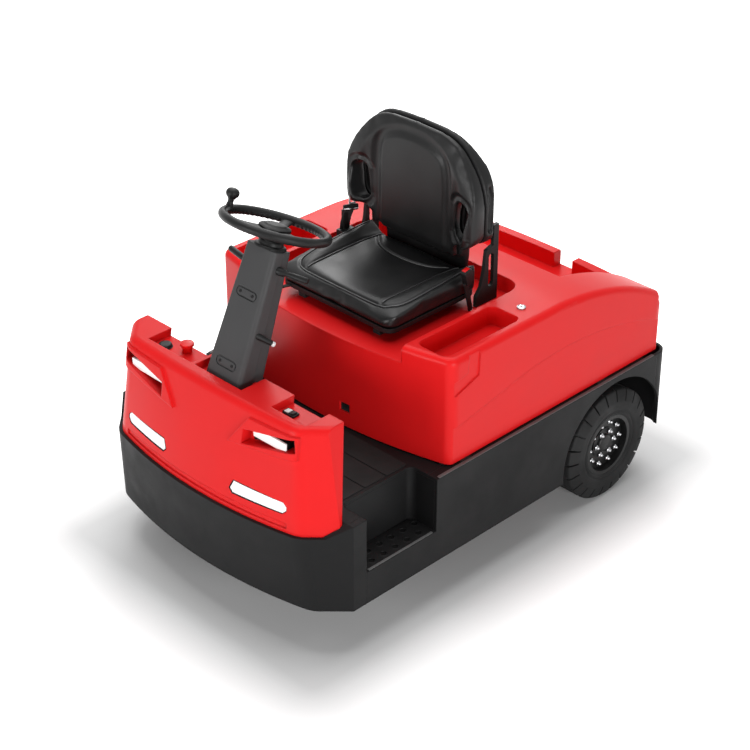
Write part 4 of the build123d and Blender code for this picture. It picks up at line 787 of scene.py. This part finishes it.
# Deck controls: distance behind the console's front, and y
STOP_BUTTON_AT = (106.0, -205.0)
DECK_CAP_AT = (78.0, -272.0)
ROCKER_AT = (86.0, 262.0)
STOP_BUTTON = ((0.0, 30.0), (17.0, 30.0), (20.5, 28.0), (21.0, 25.0), (20.5, 20.0), (18.0, 18.0),
               (15.0, 16.5), (15.0, 0.0))
DECK_CAP = ((0.0, 10.5), (12.0, 11.0), (18.0, 10.5), (20.0, 8.0), (20.5, 2.0), (22.5, 1.6), (23.0, 0.0))
# Halves of the rocker: y and z on its bezel, tilt in degrees, outline, thickness
BLACK_KEY = (9.5, 5.5, 12.0, (18.0, 19.0, 1.5), 4.0)
WHITE_KEY = (-9.5, 4.5, 6.0, (18.0, 18.0, 1.5), 3.5)


def on_deck(behind, y):
    """A frame on the console's deck."""
    return level(CONSOLE_TOP_X - behind, y, DECK_Z)


def rocker_key(name, y, z, tilt, outline, thickness):
    """One half of the rocker."""
    place = shifted(on_deck(*ROCKER_AT), 0, y, z) @ Matrix.Rotation(radians(tilt), 4, "X")
    return plate(name, rounded(*outline), place, thickness, bevel=1.0)


stop_button = turned("stop_button", STOP_BUTTON, on_deck(*STOP_BUTTON_AT), segments=36)
finish_piece(stop_button, "chassis", BUTTON, ["dash_controls"])
deck_cap = turned("deck_cap", DECK_CAP, on_deck(*DECK_CAP_AT), segments=36)
finish_piece(deck_cap, "chassis", PLASTIC)
rocker = [plate("bezel", rounded(26.0, 46.0, 3.0), on_deck(*ROCKER_AT), thickness=6.0, bevel=1.2),
          rocker_key("key", *BLACK_KEY)]
finish_piece(joined("rocker", rocker), "chassis", PLASTIC)
finish_piece(rocker_key("rocker_white", *WHITE_KEY), "chassis", WHITE)

# Left lamps seen from the front: y in shares of the console's half width, z in shares of its height
POCKET_LOW = ((0.40, 0.680), (0.765, 0.787))
POCKET_HIGH = ((0.40, 0.804), (0.757, 0.900))
MARKER = ((0.294, 0.19), (0.319, 0.275), (0.702, 0.275), (0.729, 0.239), (0.729, 0.202), (0.702, 0.165),
          (0.319, 0.153))
LAMP_BAR = ((-66.0, -15.0), (30.0, -13.5), (66.0, -6.0), (66.0, 16.0), (-66.0, 16.0))     # about its middle
LAMP_MIDDLE = (266.0, 665.0)        # y and z
LENS_T = 6.0
CAST_FRONT = 1400.0                 # where rays start in front of the console
LINING_STEPS = 10
LINING_OFF = 0.0012                 # lining in front of the pocket's wall, in metres
LINING_T = 0.001
GASKET_R = 2.0
GASKET_OUT = 0.05                   # share by which the rays for a gasket land outside its lamp
GASKET_SINK = 0.0015                # gasket's middle behind the console's front, in metres


def on_front(sign, y, z):
    """Place in front of the console, from shares of its half width and height."""
    return at(CAST_FRONT, sign * y * CONSOLE_HALF, CONSOLE_FOOT + z * CONSOLE_H)


def between(pair, share):
    (y0, z0), (y1, z1) = pair
    return y0 + (y1 - y0) * share, z0 + (z1 - z0) * share


def corner_path(points, per_edge=6):
    """Points along a closed outline, several to an edge."""
    edges = [(points[k - 1], points[k]) for k in range(len(points))]
    return [between(edge, step / per_edge) for edge in edges for step in range(per_edge)]


marker_edge = corner_path(MARKER)
marker_middle = Vector((sum(y for y, _ in MARKER), sum(z for _, z in MARKER))) / len(MARKER)
marker_surround = [Vector(p) + (Vector(p) - marker_middle) * GASKET_OUT for p in marker_edge]
for side, sign in SIDES:
    wall = []
    for edge in (POCKET_LOW, POCKET_HIGH):
        starts = [on_front(sign, *between(edge, k / LINING_STEPS)) for k in range(LINING_STEPS + 1)]
        wall += [hit + AHEAD * LINING_OFF for hit in cast_points(nodes["console"], starts, BACKWARD)]
    row = LINING_STEPS + 1
    faces = [(k, k + 1, row + k + 1, row + k) for k in range(LINING_STEPS)]
    lining = mesh_object(f"lamp_lining_{side}", wall, faces)
    add_modifier(lining, "SOLIDIFY", thickness=LINING_T, offset=0.0)
    apply_modifiers(lining)
    finish_piece(lining, "chassis", DARK)
    hits = cast_points(nodes["console"], [on_front(sign, *p) for p in marker_surround], BACKWARD)
    gasket_line = [Vector((hit.x - GASKET_SINK, *on_front(sign, *p).yz)) for hit, p in zip(hits, marker_edge)]
    gasket = tube(f"lamp_gasket_{side}", gasket_line, GASKET_R, sides=8, closed=True)
    finish_piece(gasket, "chassis", DARK)
    low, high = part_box(f"headlamp_{side}")
    depth = (high[0] - low[0]) * 1000 - LENS_T
    bar = [(sign * a, b) for a, b in LAMP_BAR]
    lamp_y, lamp_z = LAMP_MIDDLE
    lamp_place = facing(Vector((low[0], *at(0, sign * lamp_y, lamp_z).yz)), AHEAD, LEFTWARD)
    housing = plate(f"lamp_housing_{side}", bar, lamp_place, depth, bevel=0.5)
    finish_piece(housing, "chassis", DARK)
    lens = plate(f"lamp_lens_{side}", bar, shifted(lamp_place, 0, 0, depth), LENS_T, bevel=1.2)
    finish_piece(lens, "chassis", LENS, [f"headlamp_{side}"])


# Steps, sills and floor

STEP_Z = 268.0
SILL_Z = 449.0
STEP_HOLE_R = 9.5
HOLE_PITCH = 48.0
HOLE_DISC_T = 0.6
# Rows of holes in a step's tread: x of the first one, y and number
HOLE_ROWS = ((860.0, 479.0, 5), (836.0, 438.0, 6))
HOLE_LIP = ((9.6, 0.0), (9.6, 3.6), (10.6, 4.4), (12.0, 4.2), (13.5, 2.6))
TREAD_MIDDLE = (958.0, 455.0)           # x and y
TREAD_SIZE = (266.0, 88.0, 10.0)        # length, width and corner radius
TREAD_T = 3.0
EDGE_Y = 502.0
EDGE_T = 2.0
# Painted highlights along the sill's and the step's edges, drawn as pale strips: middle x and z, then length,
# width and corner radius
EDGES = ((310.0, SILL_Z, (990.0, 11.0, 2.0)), (957.5, STEP_Z, (261.0, 9.0, 2.0)))

tread_x, tread_y = TREAD_MIDDLE
for side, sign in SIDES:
    spots = [(x + k * HOLE_PITCH, sign * y) for x, y, count in HOLE_ROWS for k in range(count)]
    holes = [circle(STEP_HOLE_R, x - tread_x, y - sign * tread_y) for x, y in spots]
    tread_place = level(tread_x, sign * tread_y, STEP_Z)
    tread = [plate("tread", rounded(*TREAD_SIZE), tread_place, TREAD_T, holes=holes)]
    tread += [turned("lip", HOLE_LIP, level(x, y, STEP_Z), segments=20) for x, y in spots]
    finish_piece(joined(f"step_tread_{side}", tread), "chassis", BLACK)
    # Dark discs at the bottom of the tread's holes: painted shade in the holes
    discs = [plate("hole", circle(STEP_HOLE_R), level(x, y, STEP_Z), HOLE_DISC_T) for x, y in spots]
    finish_piece(joined(f"step_hole_shade_{side}", discs), "chassis", DARK)
    # Pale strips on the sill's and the step's edges: painted highlights
    edges = [plate("edge", rounded(*size), level(x, sign * EDGE_Y, z), EDGE_T, bevel=0.7)
             for x, z, size in EDGES]
    finish_piece(joined(f"sill_highlights_{side}", edges), "chassis", SILL_HIGHLIGHT)

# Rubber mats on the floor: rear and front x
MATS = ((822.0, 905.0), (909.0, 992.0), (996.0, 1078.0))
MAT_WIDTH = 784.0
MAT_T = 2.5
mats = []
for rear, front in MATS:
    mat_place = level((rear + front) / 2, 0, SILL_Z)
    mats.append(plate("mat", rounded(front - rear, MAT_WIDTH, 6.0), mat_place, MAT_T, bevel=0.8))
finish_piece(joined("floor_mats", mats), "chassis", RUBBER)


# Battery cells under the hood

BATTERY = (235.0, 735.0, 290.0, 690.0)      # rear and front x, half width and top
CELLS = (6, 4)                              # along and across
CELL_GAP = 6.0
LID_T = 5.0
VENT = ((0.0, 9.0), (9.0, 8.5), (11.0, 6.0), (12.0, 0.0))
rear, front, half, top = BATTERY
cell_x = (front - rear) / CELLS[0]
cell_y = 2 * half / CELLS[1]
cell_spots = [(rear + cell_x * (i + 0.5), cell_y * (k + 0.5) - half)
              for i in range(CELLS[0]) for k in range(CELLS[1])]
lid = rounded(cell_x - CELL_GAP, cell_y - CELL_GAP, 5.0)
lids = [plate("lid", lid, level(x, y, top), LID_T, bevel=1.5) for x, y in cell_spots]
vents = [turned("vent", VENT, level(x, y, top + LID_T), segments=20) for x, y in cell_spots]
finish_piece(joined("battery_cells", lids), "chassis", CASE)
finish_piece(joined("battery_vents", vents), "chassis", WHITE)


# Fittings at the rear

BOLT = ((0.0, 9.0), (8.0, 9.0), (9.0, 8.0), (9.0, 2.0), (12.0, 1.5), (12.0, 0.0))
COUPLER_BACK_X = -274.0
COUPLER_BOLTS = [(sign * 56.0, z) for sign in (-1, 1) for z in (278.0, 382.0)]      # y and z
bolts = [turned("bolt", BOLT, facing(at(COUPLER_BACK_X, y, z), BACKWARD), HEXAGON) for y, z in COUPLER_BOLTS]
finish_piece(joined("coupler_bolts", bolts), "chassis", STEEL)

# Wall that closes the rear end of the hood's left shoulder, seen from behind: y and z
SHOULDER_CAP = ((353.0, 595.0), (486.0, 595.0), (486.0, 648.0), (478.0, 660.0), (470.0, 664.5),
                (353.0, 664.5))
SHOULDER_CAP_X = -203.5
SHOULDER_CAP_T = 5.0
cap_place = facing(at(SHOULDER_CAP_X, 0, 0), AHEAD, LEFTWARD)
for side, sign in SIDES:
    outline = [(sign * y, z) for y, z in SHOULDER_CAP]
    shoulder_cap = plate(f"shoulder_cap_{side}", outline, cap_place, SHOULDER_CAP_T, bevel=1.0)
    finish_piece(shoulder_cap, "hood", RED)

LOCK = ((0.0, 4.6), (9.0, 4.6), (9.6, 3.6), (10.6, 3.6), (11.2, 5.4), (13.6, 4.6), (14.2, 0.0))
LOCK_AT = (370.0, 417.0, 803.0)
LOCK_SLOT_Z = 4.4
lock_place = level(*LOCK_AT)
finish_piece(turned("lock_face", LOCK, lock_place), "hood", ZINC, ["hood_lock"])
# A thin dark plate on the lock's face: painted shade in its key slot
lock_slot_shade = plate("lock_slot_shade", rounded(11.0, 3.4, 1.5), shifted(lock_place, 0, 0, LOCK_SLOT_Z), thickness=0.6)
finish_piece(lock_slot_shade, "hood", DARK)

TAIL_FRAME_AT = (-243.0, 370.0, 540.0)      # middle of the left lamp's frame
TAIL_FRAME_SIZE = (104.0, 44.0, 6.0)        # width, height and corner radius
TAIL_FRAME_R = 3.5
tail_x, tail_y, tail_z = TAIL_FRAME_AT
for side, sign in SIDES:
    frame_line = [at(tail_x, sign * tail_y + a, tail_z + b) for a, b in rounded(*TAIL_FRAME_SIZE, steps=5)]
    tail_frame = tube(f"tail_lamp_frame_{side}", frame_line, TAIL_FRAME_R, sides=8, closed=True)
    finish_piece(tail_frame, "hood", PLASTIC)


# Camera, light and floor

# Place in metres, angles in degrees, focal length and the view's middle in pixels of the image
CAMERA = dict(place=(3.7392, 3.6787, 3.5846), azimuth=45.22, elevation=30.92, focal=1953.0, middle=373.0)
IMAGE = 750.0
SENSOR = 36.0

camera = bpy.data.cameras.new("camera")
camera.sensor_width = SENSOR
camera.lens = CAMERA["focal"] / IMAGE * SENSOR
camera.shift_x = (IMAGE / 2 - CAMERA["middle"]) / IMAGE
camera.clip_end = 100.0
viewer = scene_object("camera", camera)
viewer.location = CAMERA["place"]
viewer.rotation_euler = (radians(90 - CAMERA["elevation"]), 0, radians(90 + CAMERA["azimuth"]))
scene.camera = viewer
scene.view_settings.view_transform = "Standard"

# Lamps: place and size in metres, power in watts
LAMPS = {
    "side": ((2.2, 5.6, 1.4), 3.0, 212.0),
    "front": ((6.0, -0.5, 1.2), 3.0, 165.0),
    "top": ((-0.7, -0.7, 5.2), 5.5, 235.0),
    "rear": ((-3.0, -3.1, 3.2), 2.2, 55.0),
}
LAMP_TARGET = Vector((0, 0, 0.5))


def lamp(name, place, size, power):
    """A soft disc lamp that points at the tractor's middle."""
    light = bpy.data.lights.new(name, "AREA")
    light.shape = "DISK"
    light.size = size
    light.energy = power
    obj = scene_object(name, light)
    obj.location = place
    obj.rotation_euler = (LAMP_TARGET - Vector(place)).to_track_quat("-Z", "Y").to_euler()


for name, settings in LAMPS.items():
    lamp(name, *settings)


def seen_only(tree):
    """A factor that is 1 for what the camera sees, straight or in a reflection or through glass."""
    rays = node(tree, "ShaderNodeLightPath")
    total = rays.outputs["Is Camera Ray"]
    for name in ("Is Glossy Ray", "Is Transmission Ray"):
        either = node(tree, "ShaderNodeMath", operation="MAXIMUM")
        tree.links.new(total, either.inputs[0])
        tree.links.new(rays.outputs[name], either.inputs[1])
        total = either.outputs[0]
    return total


WORLD_LIGHT = 0.09
world = bpy.data.worlds.new("studio")
scene.world = world
world.use_nodes = True
sky = world.node_tree
strength = node(sky, "ShaderNodeMapRange", {"To Min": WORLD_LIGHT, "To Max": 1.0})
sky.links.new(seen_only(sky), strength.inputs["Value"])
background = sky.nodes["Background"]
background.inputs["Color"].default_value = (1, 1, 1, 1)
sky.links.new(strength.outputs["Result"], background.inputs["Strength"])

FLOOR_HALF = 30.0                           # in metres
FLOOR_COLOUR = 0.88
FLOOR_REACH = (0.83, 0.51, 0.0)             # half of the floor that the tractor covers, in metres
FLOOR_GLOW = (0.03, 0.50, 0.0, 1.0)         # from and to metres beside that, glow at each
floor_corners = [(x * FLOOR_HALF, y * FLOOR_HALF, 0) for x, y in CORNERS]
floor = mesh_object("floor", floor_corners, [(0, 1, 2, 3)], smooth=False)
ground, tree, bsdf = shader("pale floor")
bsdf.inputs["Base Color"].default_value = (FLOOR_COLOUR, FLOOR_COLOUR, FLOOR_COLOUR, 1)
bsdf.inputs["Roughness"].default_value = 1.0
bsdf.inputs["Specular IOR Level"].default_value = 0.0
bsdf.inputs["Emission Color"].default_value = (1, 1, 1, 1)
across = node(tree, "ShaderNodeVectorMath", operation="ABSOLUTE")
beside = node(tree, "ShaderNodeVectorMath", {1: FLOOR_REACH}, operation="SUBTRACT")
outside = node(tree, "ShaderNodeVectorMath", operation="MAXIMUM")
away = node(tree, "ShaderNodeVectorMath", operation="LENGTH")
glow = node(tree, "ShaderNodeMapRange", zip(("From Min", "From Max", "To Min", "To Max"), FLOOR_GLOW))
seen = node(tree, "ShaderNodeMath", operation="MULTIPLY")
tree.links.new(node(tree, "ShaderNodeTexCoord").outputs["Object"], across.inputs[0])
for first, second in zip((across, beside, outside), (beside, outside, away)):
    tree.links.new(first.outputs["Vector"], second.inputs[0])
tree.links.new(away.outputs["Value"], glow.inputs["Value"])
tree.links.new(seen_only(tree), seen.inputs[0])
tree.links.new(glow.outputs["Result"], seen.inputs[1])
tree.links.new(seen.outputs[0], bsdf.inputs["Emission Strength"])
floor.data.materials.append(ground)
